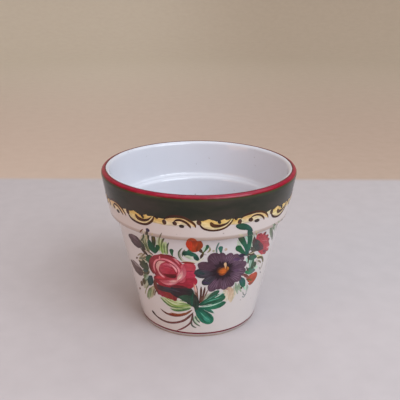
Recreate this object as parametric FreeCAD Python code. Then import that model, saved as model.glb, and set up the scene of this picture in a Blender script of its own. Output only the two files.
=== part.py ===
import FreeCAD, Part
import math
import os

# A cachepot: one slip-cast earthenware body in the shape of a flower pot with a collar,
# a white glaze fired over it, and bands, scrolls and a spray of flowers in fired enamel.
# Millimetres. The pot stands on z = 0 with its axis on z, and its painted side faces -y.

os.makedirs("parts", exist_ok=True)

# Clay body
step_height = 81.0
collar_height = 30.4
foot_radius = 41.5
body_flare = 16.5
collar_overhang = 4.0
collar_flare = 5.1
wall = 4.8
lip_thickness = 5.0
foot_ring_width = 5.5
recess_depth = 2.5
floor_thickness = 5.5

# Roundings of the clay. The lip's is a share of the wall there, so that it stays nearly a half round.
lip_round_share = 0.48
step_round = 2.5
collar_round = 2.0
ledge_round = 3.0
floor_round = 6.0
foot_round = 0.9
recess_round = 1.2

# Coats
glaze = 0.4
enamel = 0.2
bare_foot_height = 1.2

# Bands, measured down from the top of the clay
rim_line_drop = 2.4
green_band_width = 14.2
scroll_height = 9.4
scroll_rise = 2.9
foot_line_height = 2.2
foot_line_width = 0.8

# Widths of the broad brush, for petals and leaves, and of the liner, as shares of the body's
# radius half way up
brush_width_share = 0.1
liner_width_share = 0.02

# Cutting tools run this far past what they cut
overrun = 5.0

clay_height = step_height + collar_height
body_top_radius = foot_radius + body_flare
collar_radius = body_top_radius + collar_overhang
rim_radius = collar_radius + collar_flare
collar_slope_share = collar_flare / collar_height
floor_height = recess_depth + floor_thickness
recess_radius = foot_radius - foot_ring_width
ledge_height = step_height + wall
lip_round = lip_round_share * lip_thickness * math.cos(math.atan(collar_slope_share))
inner_rim_radius = rim_radius - lip_thickness
inner_top_radius = body_top_radius - wall
reach = rim_radius + overrun
body_radius = foot_radius + body_flare / 2
brush_width = brush_width_share * body_radius
liner_width = liner_width_share * body_radius


def outer_radius(height):
    """The radius of the glazed outside at a height."""
    if height < step_height:
        return foot_radius + body_flare / step_height * height + glaze
    return collar_radius + collar_slope_share * (height - step_height) + glaze


def clay_radius(height):
    return outer_radius(height) - glaze


# Lines and arcs in the x-z plane

def rounded_edges(corners):
    """Lines through corners (x, z, rounding), with a tangent arc at each inner corner."""
    points = [FreeCAD.Vector(x, 0, z) for x, z, rounding in corners]
    edges = []
    start = points[0]
    for index in range(1, len(points) - 1):
        corner = points[index]
        rounding = corners[index][2]
        back = (points[index - 1] - corner).normalize()
        ahead = (points[index + 1] - corner).normalize()
        if rounding == 0:
            edges.append(Part.makeLine(start, corner))
            start = corner
            continue
        half_angle = back.getAngle(ahead) / 2
        tangent = rounding / math.tan(half_angle)
        to_middle = rounding / math.sin(half_angle) - rounding
        middle = corner + (back + ahead).normalize() * to_middle
        arc_start = corner + back * tangent
        arc_end = corner + ahead * tangent
        edges.append(Part.makeLine(start, arc_start))
        edges.append(Part.Arc(arc_start, middle, arc_end).toShape())
        start = arc_end
    edges.append(Part.makeLine(start, points[-1]))
    return edges


def revolved(face):
    return face.revolve(FreeCAD.Vector(0, 0, 0), FreeCAD.Vector(0, 0, 1), 360)


def ring_between(low, high):
    """A disc of everything between two heights, wider than the pot."""
    return Part.makeCylinder(reach, high - low, FreeCAD.Vector(0, 0, low))


# Clay and its coats

def outside_corners(start_height):
    return [
        (clay_radius(start_height), start_height, 0),
        (body_top_radius, step_height, step_round),
        (collar_radius, step_height, collar_round),
        (rim_radius, clay_height, lip_round),
    ]


def inside_corners():
    ledge_radius = inner_rim_radius - collar_slope_share * (clay_height - ledge_height)
    inner_floor_radius = clay_radius(floor_height) - wall
    return [
        (inner_rim_radius, clay_height, lip_round),
        (ledge_radius, ledge_height, ledge_round),
        (inner_top_radius, ledge_height, ledge_round),
        (inner_floor_radius, floor_height, floor_round),
        (0, floor_height, 0),
    ]


def clay_body():
    underside = [
        (0, recess_depth, 0),
        (recess_radius, recess_depth, recess_round),
        (recess_radius, 0, foot_round),
        (foot_radius, 0, foot_round),
    ]
    edges = rounded_edges(underside + outside_corners(foot_round)[1:] + inside_corners())
    edges.append(Part.makeLine(FreeCAD.Vector(0, 0, floor_height), FreeCAD.Vector(0, 0, recess_depth)))
    return revolved(Part.Face(Part.Wire(edges)))


def coat(skin, depth_below, thickness):
    """A layer of a thickness that lies a depth outside the skin of the clay."""
    wire = skin
    if depth_below:
        wire = wire.makeOffset2D(-depth_below, 0, False, True, False)
    return revolved(wire.makeOffset2D(-thickness, 0, True, True, False))


def outside_region():
    """Everything outside a line through the middle of the wall, which parts the coats at the crest."""
    half = wall / 2
    crest = rim_radius - lip_thickness / 2
    corners = [
        (0, -overrun),
        (reach, -overrun),
        (reach, clay_height + overrun),
        (crest, clay_height + overrun),
        (crest, clay_height - half),
        (collar_radius - half, step_height + half),
        (body_top_radius - half, step_height + half),
        (foot_radius - half, floor_height / 2),
        (0, floor_height / 2),
        (0, -overrun),
    ]
    return revolved(Part.Face(Part.makePolygon([FreeCAD.Vector(x, 0, z) for x, z in corners])))


def base_glaze():
    """The glaze in the recess under the pot, down to the bare foot ring."""
    corners = [
        (0, recess_depth, 0),
        (recess_radius, recess_depth, recess_round),
        (recess_radius, bare_foot_height, 0),
    ]
    return coat(Part.Wire(rounded_edges(corners)), 0, glaze)


# Enamel. Every stroke is drawn as the pot is seen from the front, and cut out of the enamel coat.

def on_pot(angle, height):
    """A place on the pot's front by its angle from the middle and its height, seen from the front."""
    return FreeCAD.Vector(outer_radius(height) * math.sin(math.radians(angle)), 0, height)


def brush(spine, width, width_shares, round_head):
    """A stroke along a smooth line, with its width as shares at even steps from tail to head."""
    if len(spine) == 2:
        spine = [spine[0], (spine[0] + spine[1]) / 2, spine[1]]
    middle = Part.BSplineCurve()
    middle.interpolate(spine)
    steps = len(width_shares) - 1
    left = []
    right = []
    for step, share in enumerate(width_shares):
        parameter = middle.FirstParameter + (middle.LastParameter - middle.FirstParameter) * step / steps
        along = middle.tangent(parameter)[0]
        across = FreeCAD.Vector(-along.z, 0, along.x) * (width / 2 * share)
        left.append(middle.value(parameter) + across)
        right.append(middle.value(parameter) - across)
    edges = [smooth(left)]
    if round_head:
        ahead = middle.tangent(middle.LastParameter)[0] * (width / 2 * width_shares[-1])
        edges.append(Part.Arc(left[-1], middle.value(middle.LastParameter) + ahead, right[-1]).toShape())
    edges.append(smooth(list(reversed(right))))
    return Part.Face(Part.Wire(edges))


def smooth(points):
    curve = Part.BSplineCurve()
    curve.interpolate(points)
    return curve.toShape()


line_width_shares = (0, 0.75, 1, 1, 1, 0.75, 0)
leaf_width_shares = (0, 0.55, 0.9, 1, 0.9, 0.55, 0)
comma_width_shares = (0, 0.35, 0.6, 0.8, 0.95, 1, 0.8)
bud_width_shares = (0, 0.45, 0.75, 0.95, 1, 0.95, 0.8)


def stroke(places, width, width_shares, round_head):
    """A brush stroke through places (angle, share of the clay's height)."""
    spine = [on_pot(angle, share * clay_height) for angle, share in places]
    return brush(spine, width, width_shares, round_head)


def line(size_share, *places):
    return stroke(places, size_share * liner_width, line_width_shares, False)


def leaf(size_share, *places):
    return stroke(places, size_share * brush_width, leaf_width_shares, False)


def comma(size_share, *places):
    return stroke(places, size_share * brush_width, comma_width_shares, True)


def bud(size_share, *places):
    return stroke(places, size_share * brush_width, bud_width_shares, True)


def dab(across_share, up_share, place):
    """A round dab of the brush, across and up being its half sizes."""
    angle, height_share = place
    long_way = max(across_share, up_share) * brush_width
    short_way = min(across_share, up_share) * brush_width
    ellipse = Part.Ellipse(FreeCAD.Vector(0, 0, 0), long_way, short_way)
    face = Part.Face(Part.Wire(ellipse.toShape()))
    if up_share > across_share:
        face.rotate(FreeCAD.Vector(0, 0, 0), FreeCAD.Vector(0, 0, 1), 90)
    face.rotate(FreeCAD.Vector(0, 0, 0), FreeCAD.Vector(1, 0, 0), 90)
    face.translate(on_pot(angle, height_share * clay_height))
    return face


def meets(face, other):
    """Whether the boxes round two flat faces overlap."""
    return face.BoundBox.intersect(other.BoundBox)


def layered(faces, above):
    """Faces, each cut back to those before it and to those above them all."""
    visible = []
    for face in faces:
        covers = [cover for cover in above if meets(face, cover)]
        left = face.cut(covers) if covers else face
        visible += [piece for piece in left.Faces if piece.Area > glaze * glaze]
        above.append(face)
    return visible


def painted(coating, faces):
    """The solids that flat faces cover in a coat of enamel."""
    solids = []
    for face in faces:
        solids += coating.common(through_front(face)).Solids
    return solids


def through_front(flat):
    """What a flat shape covers on the front half of the pot."""
    return flat.translated(FreeCAD.Vector(0, -reach, 0)).extrude(FreeCAD.Vector(0, reach, 0))


def around(solids, count):
    """Copies of solids, turned evenly about the pot's axis."""
    copies = []
    for index in range(count):
        for solid in solids:
            copy = solid.copy()
            copy.rotate(FreeCAD.Vector(0, 0, 0), FreeCAD.Vector(0, 0, 1), 360 * index / count)
            copies.append(copy)
    return copies


# Scroll border: a bowl and an arch in turn, under the green band

scroll_count = 8
scroll_line_width = 0.9
scroll_fine_width = 0.7
green_bottom = clay_height - rim_line_drop - green_band_width
scroll_bottom = green_bottom + scroll_rise - scroll_height

bowl_shares = ((-1.2, 0.82), (1.2, 0.42), (9, 0.04), (16.6, 0.40), (19.6, 0.86))
bowl_fill_shares = ((-0.4, 0.86), (1.5, 0.44), (9, 0.07), (16.5, 0.42), (18.9, 0.84))
bowl_top_shares = ((18.9, 0.84), (15.6, 0.78), (13.4, 0.98), (11, 0.72), (8.4, 1.0), (5, 0.80), (-0.4, 0.86))
bowl_inner_shares = ((6.0, 0.66), (8.4, 0.46), (12.4, 0.38), (15.6, 0.62))
bowl_dab_shares = ((11.2, 0.66),)
arch_shares = ((-19.8, 0.42), (-17.6, 0.80), (-11.6, 0.96), (-5.4, 0.78), (-2.6, 0.26))
arch_fill_shares = ((-19.4, 0.44), (-17.2, 0.80), (-11.6, 0.93), (-5.6, 0.76), (-3.2, 0.30))
arch_floor_shares = ((-3.2, 0.30), (-8, 0.46), (-14, 0.48), (-19.4, 0.44))
arch_inner_shares = ((-13.6, 0.50), (-11.0, 0.72), (-7.2, 0.66), (-4.6, 0.26))
arch_dab_shares = ((-18.6, 0.54), (-8.8, 0.34))


def scroll_places(shares):
    return [on_pot(angle, scroll_bottom + share * scroll_height) for angle, share in shares]


def scroll_line(shares, width, width_shares=line_width_shares, round_head=False):
    return brush(scroll_places(shares), width, width_shares, round_head)


def scroll_dab(shares, radius):
    centre = scroll_places([shares])[0]
    return Part.Face(Part.Wire(Part.Circle(centre, FreeCAD.Vector(0, -1, 0), radius).toShape()))


def scroll_fill():
    """The yellow in one bowl and one arch."""
    bowl = Part.Wire([smooth(scroll_places(bowl_fill_shares)), smooth(scroll_places(bowl_top_shares))])
    arch = Part.Wire([smooth(scroll_places(arch_fill_shares)), smooth(scroll_places(arch_floor_shares))])
    return [Part.Face(bowl), Part.Face(arch)]


def scroll_drawing():
    """The brown lines and dabs of one bowl and one arch."""
    faces = [
        scroll_line(bowl_shares, scroll_line_width),
        scroll_line(arch_shares, scroll_line_width),
        scroll_line(tuple(reversed(bowl_inner_shares)), 2 * scroll_fine_width, comma_width_shares, True),
        scroll_line(tuple(reversed(arch_inner_shares)), 2 * scroll_fine_width, comma_width_shares, True),
    ]
    return faces + [scroll_dab(place, scroll_line_width) for place in bowl_dab_shares + arch_dab_shares]


def scalloped(band):
    """The band with its lower edge cut back to the scrolls, one repeat of them at a time."""
    step = 360 / scroll_count
    up = FreeCAD.Vector(0, 0, 1)
    repeat = Part.makeCylinder(reach, clay_height, FreeCAD.Vector(0, 0, 0), up, step)
    repeat.rotate(FreeCAD.Vector(0, 0, 0), up, -90 - step / 2)
    tools = [through_front(face) for face in scroll_drawing() + scroll_fill()]
    cut = band.common(repeat).cut(tools)
    solids = [solid for solid in cut.Solids if solid.Volume > glaze * glaze * enamel]
    turned = around(solids, scroll_count)
    return turned[0].multiFuse(turned[1:]).removeSplitter()


# Spray of flowers. Each row is a kind of mark, its size as a share of its brush, and its
# places as (angle, share of the clay's height).

petal_count = 14
daisy_angle = 17.0
daisy_height_share = 0.502
daisy_reach_share = 3.06
daisy_stretch_share = 1.16
petal_notch_share = 0.13
petal_sway_share = 0.02


def daisy():
    """Petals laid round the heart, a little wider than high, as one patch with a lobe for each."""
    centre = on_pot(daisy_angle, daisy_height_share * clay_height)
    step = 2 * math.pi / petal_count
    reach_out = daisy_reach_share * brush_width
    notch_reach = reach_out * (1 - petal_notch_share)
    edges = []
    for index in range(petal_count):
        notch = centre + daisy_ray(step * index, notch_reach)
        next_notch = centre + daisy_ray(step * (index + 1), notch_reach)
        tip_reach = reach_out * (1 + petal_sway_share * math.cos(2.3 * index))
        tip = centre + daisy_ray(step * (index + 0.5), tip_reach)
        edges.append(Part.Arc(notch, tip, next_notch).toShape())
    return Part.Face(Part.Wire(edges))


def daisy_ray(turn, length):
    return FreeCAD.Vector(daisy_stretch_share * math.cos(turn), 0, math.sin(turn)) * length


daisy_petal_shares = ((daisy,),)

daisy_heart_shares = (
    (dab, 0.60, 0.60, (16.4, 0.500)),
    (comma, 0.44, (17.0, 0.495), (18.6, 0.545)),
)

# Pale lines that turn round the rose's heart
rose_highlight_shares = (
    (line, 1.2, (-34.0, 0.470), (-31.0, 0.557), (-23.0, 0.579), (-13.6, 0.540)),
    (line, 1.1, (-31.6, 0.455), (-29.6, 0.530), (-22.0, 0.553), (-14.2, 0.500)),
    (line, 1.6, (-29.0, 0.404), (-19.0, 0.387), (-13.0, 0.412), (-11.2, 0.480)),
    (leaf, 0.40, (-28.0, 0.462), (-27.8, 0.505), (-24.6, 0.535)),
    (leaf, 0.52, (-17.5, 0.405), (-12.8, 0.436), (-9.6, 0.490)),
)

# The dark under side of the rose and the shade in its heart
rose_shading_shares = (
    (leaf, 1.28, (-35.6, 0.354), (-21.0, 0.347), (-6.0, 0.340)),
    (leaf, 0.52, (-25.5, 0.462), (-19.4, 0.441), (-14.6, 0.474)),
)

rose_petal_shares = (
    (dab, 2.48, 2.40, (-23.8, 0.498)),
    (dab, 1.40, 1.28, (-9.2, 0.520)),
    (dab, 1.24, 1.20, (-7.4, 0.438)),
    (dab, 2.68, 1.12, (-20.5, 0.412)),
    (comma, 0.84, (-36.0, 0.330), (-28.0, 0.292), (-16.0, 0.284)),
)

orange_bud_shares = (
    (dab, 1.08, 1.12, (-3.2, 0.692)),
    (dab, 1.08, 0.86, (46.2, 0.374)),
)

purple_bud_shares = (
    (bud, 1.70, (-54.5, 0.662), (-49.6, 0.634), (-44.4, 0.604)),
    (bud, 1.60, (-64.0, 0.446), (-58.6, 0.414), (-53.0, 0.384)),
)

# A fan of strokes from the calyx on its left
carnation_shares = (
    (bud, 0.96, (43.0, 0.602), (46.4, 0.688)),
    (bud, 0.96, (43.0, 0.602), (50.8, 0.680)),
    (bud, 0.96, (43.0, 0.602), (54.8, 0.646)),
    (bud, 0.92, (43.0, 0.602), (58.4, 0.600)),
    (bud, 0.88, (43.0, 0.602), (60.2, 0.552)),
)

# The full green: above the rose, outside it, under the upper bud, above the daisy, the
# carnation's calyx, right of the daisy, and from the tie of the spray
dark_leaf_shares = (
    (comma, 0.48, (-30.4, 0.600), (-30.4, 0.680), (-29.8, 0.765)),
    (comma, 0.60, (-30.2, 0.600), (-32.8, 0.654), (-33.8, 0.718)),
    (comma, 0.50, (-29.4, 0.606), (-27.0, 0.658)),
    (comma, 0.50, (-16.8, 0.598), (-17.2, 0.640)),
    (comma, 0.70, (-36.4, 0.512), (-41.0, 0.545)),
    (leaf, 0.90, (-38.4, 0.484), (-43.6, 0.478), (-49.0, 0.466)),
    (leaf, 0.68, (-37.6, 0.414), (-40.2, 0.378), (-43.0, 0.340)),
    (leaf, 0.48, (-47.4, 0.362), (-51.4, 0.328), (-55.2, 0.292)),
    (comma, 0.74, (0.8, 0.590), (-4.4, 0.626), (-10.2, 0.630)),
    (comma, 0.56, (3.0, 0.606), (6.4, 0.668)),
    (comma, 0.62, (14.2, 0.612), (14.0, 0.660)),
    (comma, 0.86, (32.8, 0.584), (35.2, 0.690), (31.0, 0.760), (23.0, 0.802)),
    (comma, 0.74, (31.8, 0.584), (30.0, 0.648), (26.8, 0.708)),
    (comma, 0.68, (31.4, 0.572), (29.0, 0.602), (25.6, 0.644)),
    (comma, 1.10, (39.6, 0.664), (42.2, 0.622), (46.6, 0.598)),
    (leaf, 0.92, (36.6, 0.548), (41.0, 0.558), (46.0, 0.566)),
    (comma, 0.56, (44.2, 0.532), (45.2, 0.472)),
    (leaf, 0.96, (35.4, 0.438), (41.0, 0.450), (47.0, 0.448)),
    (leaf, 0.88, (32.4, 0.432), (35.8, 0.376), (38.8, 0.322)),
    (comma, 1.14, (0.8, 0.238), (10.0, 0.296), (19.6, 0.308)),
    (comma, 0.46, (1.0, 0.262), (7.0, 0.318), (13.4, 0.348)),
    (comma, 0.88, (1.6, 0.232), (11.6, 0.236), (20.4, 0.256)),
    (comma, 1.48, (0.2, 0.216), (4.4, 0.170), (9.8, 0.132)),
    (leaf, 1.30, (-1.6, 0.262), (-5.0, 0.305), (-9.6, 0.350)),
)

# The thinner green, let down with water
pale_leaf_shares = (
    (leaf, 1.56, (-3.6, 0.240), (-18.0, 0.228), (-33.0, 0.268)),
    (leaf, 0.40, (2.0, 0.225), (8.0, 0.212), (14.0, 0.184)),
    (leaf, 0.60, (28.0, 0.384), (30.6, 0.340), (33.0, 0.296)),
    (leaf, 0.34, (40.2, 0.338), (42.0, 0.300), (41.0, 0.256)),
    (leaf, 0.76, (36.0, 0.500), (38.4, 0.518), (41.0, 0.540)),
    (leaf, 0.50, (-25.4, 0.612), (-24.2, 0.680), (-22.2, 0.735)),
)

stem_shares = (
    (line, 1.1, (-2.2, 0.416), (-1.0, 0.330), (0.2, 0.262)),
    (line, 1.2, (2.2, 0.428), (1.6, 0.340), (0.6, 0.262)),
    (line, 1.1, (5.2, 0.402), (3.2, 0.330), (1.0, 0.262)),
    (line, 1.0, (-43.2, 0.600), (-38.6, 0.576), (-34.2, 0.556)),
    (line, 1.0, (36.2, 0.578), (40.0, 0.592), (43.4, 0.592)),
    (line, 0.9, (35.8, 0.436), (38.0, 0.418), (40.6, 0.402)),
)

# Fine blades round the flowers
grass_shares = (
    (line, 0.9, (-33.2, 0.592), (-37.4, 0.643), (-39.7, 0.718)),
    (line, 0.9, (-34.6, 0.585), (-38.8, 0.612), (-41.6, 0.650)),
    (line, 0.9, (-26.2, 0.612), (-25.8, 0.690), (-22.4, 0.766)),
    (line, 0.9, (-20.8, 0.608), (-20.6, 0.652), (-19.2, 0.684)),
    (line, 1.0, (-39.6, 0.312), (-46.4, 0.262), (-51.6, 0.206)),
    (line, 0.9, (-38.6, 0.306), (-43.0, 0.262), (-47.0, 0.210)),
    (line, 0.9, (-36.2, 0.300), (-40.0, 0.264), (-43.4, 0.226)),
    (line, 1.0, (-3.4, 0.180), (-3.0, 0.130), (-1.0, 0.082)),
    (line, 0.9, (-2.2, 0.186), (-1.0, 0.142), (1.6, 0.104)),
    (line, 0.9, (46.8, 0.508), (52.0, 0.500), (56.2, 0.448)),
    (line, 1.0, (58.0, 0.622), (61.6, 0.690), (64.0, 0.754)),
    (line, 0.9, (11.6, 0.628), (11.8, 0.656), (12.8, 0.688)),
)

# The long brown lines that end the spray at the lower left
swirl_shares = (
    (line, 1.2, (-3.2, 0.216), (-12.0, 0.170), (-23.0, 0.148), (-34.6, 0.176)),
    (line, 1.2, (-3.0, 0.204), (-11.0, 0.136), (-27.0, 0.086), (-45.6, 0.124)),
    (line, 0.9, (-3.4, 0.194), (-7.0, 0.124), (-12.0, 0.072), (-20.6, 0.036)),
)

# The marks that lie on top come first, and each later one is cut back to them
spray = (
    ("daisy_heart", daisy_heart_shares),
    ("daisy_petals", daisy_petal_shares),
    ("rose_highlights", rose_highlight_shares),
    ("rose_shading", rose_shading_shares),
    ("rose_petals", rose_petal_shares),
    ("orange_buds", orange_bud_shares),
    ("carnation", carnation_shares),
    ("purple_buds", purple_bud_shares),
    ("dark_leaves", dark_leaf_shares),
    ("pale_leaves", pale_leaf_shares),
    ("stems", stem_shares),
    ("grass", grass_shares),
    ("swirls", swirl_shares),
)


# The whole pot

def build():
    skin = Part.Wire(rounded_edges(outside_corners(bare_foot_height) + inside_corners()))
    outside = outside_region()
    glaze_coat = coat(skin, 0, glaze)
    enamel_coat = coat(skin, glaze, enamel).common(outside)

    line_bottom = clay_height - rim_line_drop
    line_top = foot_line_height + foot_line_width
    nodes = {
        "clay_body": clay_body(),
        "outer_glaze": glaze_coat.common(outside),
        "inner_glaze": glaze_coat.cut(outside),
        "base_glaze": base_glaze(),
        "rim_line": enamel_coat.common(ring_between(line_bottom, clay_height + overrun)),
        "foot_line": enamel_coat.common(ring_between(foot_line_height, line_top)),
    }

    above = []
    drawing = layered(scroll_drawing(), above)
    fill = layered(scroll_fill(), above)
    border_enamel = enamel_coat.common(ring_between(scroll_bottom - overrun, line_bottom))
    nodes["scroll_outlines"] = Part.makeCompound(around(painted(border_enamel, drawing), scroll_count))
    nodes["yellow_border"] = Part.makeCompound(around(painted(border_enamel, fill), scroll_count))
    nodes["green_band"] = scalloped(enamel_coat.common(ring_between(green_bottom, line_bottom)))

    spray_enamel = enamel_coat.common(ring_between(line_top, green_bottom))
    for name, rows in spray:
        marks = [kind(*sizes_and_places) for kind, *sizes_and_places in rows]
        nodes[name] = Part.makeCompound(painted(spray_enamel, layered(marks, above)))
    return nodes


for name, shape in build().items():
    shape.exportStep("parts/" + name + ".step")
    print(name, len(shape.Solids), round(shape.Volume, 1), shape.isValid())
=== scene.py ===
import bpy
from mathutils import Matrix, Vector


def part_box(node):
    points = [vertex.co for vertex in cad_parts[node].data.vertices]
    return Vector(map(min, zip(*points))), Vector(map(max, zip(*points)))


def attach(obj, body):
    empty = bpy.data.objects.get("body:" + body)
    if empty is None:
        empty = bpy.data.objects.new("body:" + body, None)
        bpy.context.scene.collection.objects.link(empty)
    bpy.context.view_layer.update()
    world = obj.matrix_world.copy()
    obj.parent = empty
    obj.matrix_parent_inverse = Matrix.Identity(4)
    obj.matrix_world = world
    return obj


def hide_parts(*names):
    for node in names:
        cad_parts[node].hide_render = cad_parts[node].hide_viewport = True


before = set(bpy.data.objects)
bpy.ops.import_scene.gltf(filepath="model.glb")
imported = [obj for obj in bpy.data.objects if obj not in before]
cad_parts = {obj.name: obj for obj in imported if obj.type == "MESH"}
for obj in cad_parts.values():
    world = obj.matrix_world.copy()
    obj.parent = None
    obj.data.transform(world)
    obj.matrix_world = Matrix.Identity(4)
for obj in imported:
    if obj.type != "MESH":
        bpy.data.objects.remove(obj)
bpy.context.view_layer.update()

from bisect import bisect_left
import math
import random

import bmesh
import bpy
from mathutils import Vector, noise


# Floor and backdrop
# The pot stands on a wide pale floor. Behind it the floor turns to a warmer tone, and far
# out the sheet sweeps up all round, so every side has a plain ground.

sheet_radius = 2.4
sheet_rise = 1.6
sheet_steps = 96
cove_radius = 0.9
cove_steps = 10
floor_end, backdrop_start = 0.300, 0.316
left_side, right_side = -0.3, 0.3
near, far = 0.4, 1.5
# Painted light: how much lighter the backdrop is painted far out, where the cove would be in shade
far_painted_brightening = (1.27, 1.43, 1.43)


def srgb(code):
    """A colour written as six hex digits, as the linear values that a socket takes."""
    shares = [int(code[start:start + 2], 16) / 255 for start in (0, 2, 4)]
    return [share / 12.92 if share < 0.04 else ((share + 0.055) / 1.055) ** 2.4 for share in shares] + [1]


class Shade:
    """One value in a material. Arithmetic on it adds Math nodes."""

    def __init__(self, material, socket=None):
        self.material = material
        self.socket = socket

    def node(self, kind, settings, links, output=0):
        """Any node: its type, then its settings, then the values of its inputs."""
        made = self.material.node_tree.nodes.new(kind)
        for name, value in settings.items():
            if name == "stops":
                while len(made.color_ramp.elements) < len(value):
                    made.color_ramp.elements.new(1)
                for element, (position, colour) in zip(made.color_ramp.elements, value):
                    element.position = position
                    element.color = colour
            else:
                setattr(made, name, value)
        for name, value in links.items():
            if isinstance(value, Shade):
                self.material.node_tree.links.new(value.socket, made.inputs[name])
            else:
                made.inputs[name].default_value = value
        return Shade(self.material, made.outputs[output])

    def math(self, operation, first, second):
        return self.node("ShaderNodeMath", {"operation": operation}, {0: first, 1: second})

    def __add__(self, other):
        return self.math("ADD", self, other)

    def __sub__(self, other):
        return self.math("SUBTRACT", self, other)

    def __rsub__(self, other):
        return self.math("SUBTRACT", other, self)

    def __mul__(self, other):
        return self.math("MULTIPLY", self, other)

    def __pow__(self, other):
        return self.math("POWER", self, other)

    __radd__ = __add__

    def between(self, low, high):
        """0 at low, 1 at high, and smooth from one to the other."""
        links = {"Value": self, "From Min": low, "From Max": high}
        return self.node("ShaderNodeMapRange", {"interpolation_type": "SMOOTHSTEP"}, links)

    def blend(self, first, second):
        """The first colour where this is 0 and the second where it is 1."""
        return self.node("ShaderNodeMix", {"data_type": "RGBA"}, {0: self, 6: first, 7: second}, 2)

    def ramp(self, *stops):
        """The colour at this share of the way along the stops."""
        return self.node("ShaderNodeValToRGB", {"stops": stops}, {0: self})

    def times(self, scale):
        """A colour or vector with each of its parts scaled."""
        return self.node("ShaderNodeVectorMath", {"operation": "MULTIPLY"}, {0: self, 1: scale})

    def noise(self, scale, detail):
        """Noise at this place, with so many waves to the unit."""
        return self.node("ShaderNodeTexNoise", {}, {"Vector": self, "Scale": scale, "Detail": detail})

    def part(self, index):
        return self.node("ShaderNodeSeparateXYZ", {}, {0: self}, index)

    def bump(self, distance, strength):
        links = {"Height": self, "Distance": distance, "Strength": strength}
        return self.node("ShaderNodeBump", {}, links)


class Finish:
    """A material with its surface shader."""

    def __init__(self, name, roughness, coat=0.0, coat_roughness=0.05, specular=0.5):
        self.material = bpy.data.materials.new(name)
        self.material.use_nodes = True
        self.surface = self.material.node_tree.nodes["Principled BSDF"]
        self.surface.inputs["Roughness"].default_value = roughness
        self.surface.inputs["Coat Weight"].default_value = coat
        self.surface.inputs["Coat Roughness"].default_value = coat_roughness
        self.surface.inputs["Specular IOR Level"].default_value = specular
        self.place = Shade(self.material).node("ShaderNodeTexCoord", {}, {}, "Object")

    def attribute(self, name, output):
        return self.place.node("ShaderNodeAttribute", {"attribute_name": name}, {}, output)

    def feed(self, name, value):
        self.material.node_tree.links.new(value.socket, self.surface.inputs[name])


def add_object(name, bm, finish):
    """The mesh as a smooth object at the origin."""
    mesh = bpy.data.meshes.new(name)
    bm.to_mesh(mesh)
    bm.free()
    mesh.shade_smooth()
    mesh.materials.append(finish.material)
    made = bpy.data.objects.new(name, mesh)
    bpy.context.scene.collection.objects.link(made)
    return made


sheet = bmesh.new()
middle = sheet.verts.new((0, 0, 0))
bend = sheet.verts.new((sheet_radius, 0, 0))
top = sheet.verts.new((sheet_radius, 0, sheet_rise))
sheet.edges.new((middle, bend))
sheet.edges.new((bend, top))
bmesh.ops.bevel(sheet, geom=[bend], offset=cove_radius, affect="VERTICES", segments=cove_steps, profile=0.5,
                material=-1)
bmesh.ops.spin(sheet, geom=sheet.verts[:] + sheet.edges[:], axis=(0, 0, 1), angle=2 * math.pi,
               steps=sheet_steps, use_merge=True)
bmesh.ops.remove_doubles(sheet, verts=sheet.verts[:], dist=0.0001)
bmesh.ops.recalc_face_normals(sheet, faces=sheet.faces[:])

plain = Finish("floor_and_backdrop", roughness=0.9)
mottle = plain.place.noise(scale=60, detail=4)
floor_colour = mottle.blend(srgb("bcb4b5"), srgb("c7bfc0"))
# Painted light and shade: the backdrop is painted lighter at the left and darker at the right, as light
# falling off across it
lit_left_backdrop = mottle.blend(srgb("c9b1a0"), srgb("d1bbaa"))
shaded_right_backdrop = mottle.blend(srgb("b8a08e"), srgb("c2aa99"))
near_colour = plain.place.part(0).between(left_side, right_side).blend(lit_left_backdrop, shaded_right_backdrop)
# Painted light: the backdrop is painted lighter far out, against the shade of the cove
backdrop_colour = plain.place.part(1).between(near, far).blend(near_colour, near_colour.times(far_painted_brightening))
beyond = plain.place.part(1).between(floor_end, backdrop_start)
plain.feed("Base Color", beyond.blend(floor_colour, backdrop_colour))
add_object("backdrop", sheet, plain)


# Camera and light
# The view is from a little above the rim. Soft light comes from a window on the right and
# from above, with a weak warm lamp on the left, and the room fills in the rest.

camera_data = bpy.data.cameras.new("camera")
camera_data.lens = 54.3
camera_data.sensor_width = 36
camera_data.shift_x = 0.0030
camera = bpy.data.objects.new("camera", camera_data)
camera.location = (0, -0.401, 0.232)
camera.rotation_euler = [math.radians(angle) for angle in (69.91, -0.188, 0.069)]
bpy.context.scene.collection.objects.link(camera)
bpy.context.scene.camera = camera

world = bpy.data.worlds.new("room")
world.use_nodes = True
room = world.node_tree.nodes["Background"]
room.inputs["Color"].default_value = (1.0, 0.90, 0.82, 1)
room.inputs["Strength"].default_value = 0.34
bpy.context.scene.world = world
bpy.context.scene.view_settings.view_transform = "Standard"

for name, place, size, power, colour in (
    ("window", (0.75, -0.80, 1.00), 1.00, 13.1, (0.81, 0.90, 1.0)),
    ("ceiling", (0.40, -0.25, 1.55), 2.60, 22.0, (0.86, 0.93, 1.0)),
    ("lamp", (-0.85, -0.55, 0.45), 0.60, 2.1, (1.0, 0.58, 0.36)),
):
    light = bpy.data.lights.new(name, "AREA")
    light.size = size
    light.energy = power
    light.color = colour
    lamp = bpy.data.objects.new(name, light)
    lamp.location = place
    lamp.rotation_euler = Vector(place).to_track_quat("Z", "Y").to_euler()
    bpy.context.scene.collection.objects.link(lamp)


# Clay body
# Slip-cast earthenware: a cone with a stepped collar and a rounded lip, the step cast in
# the inside wall as well, and a foot ring round a shallow recess. The ring is left bare.

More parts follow.
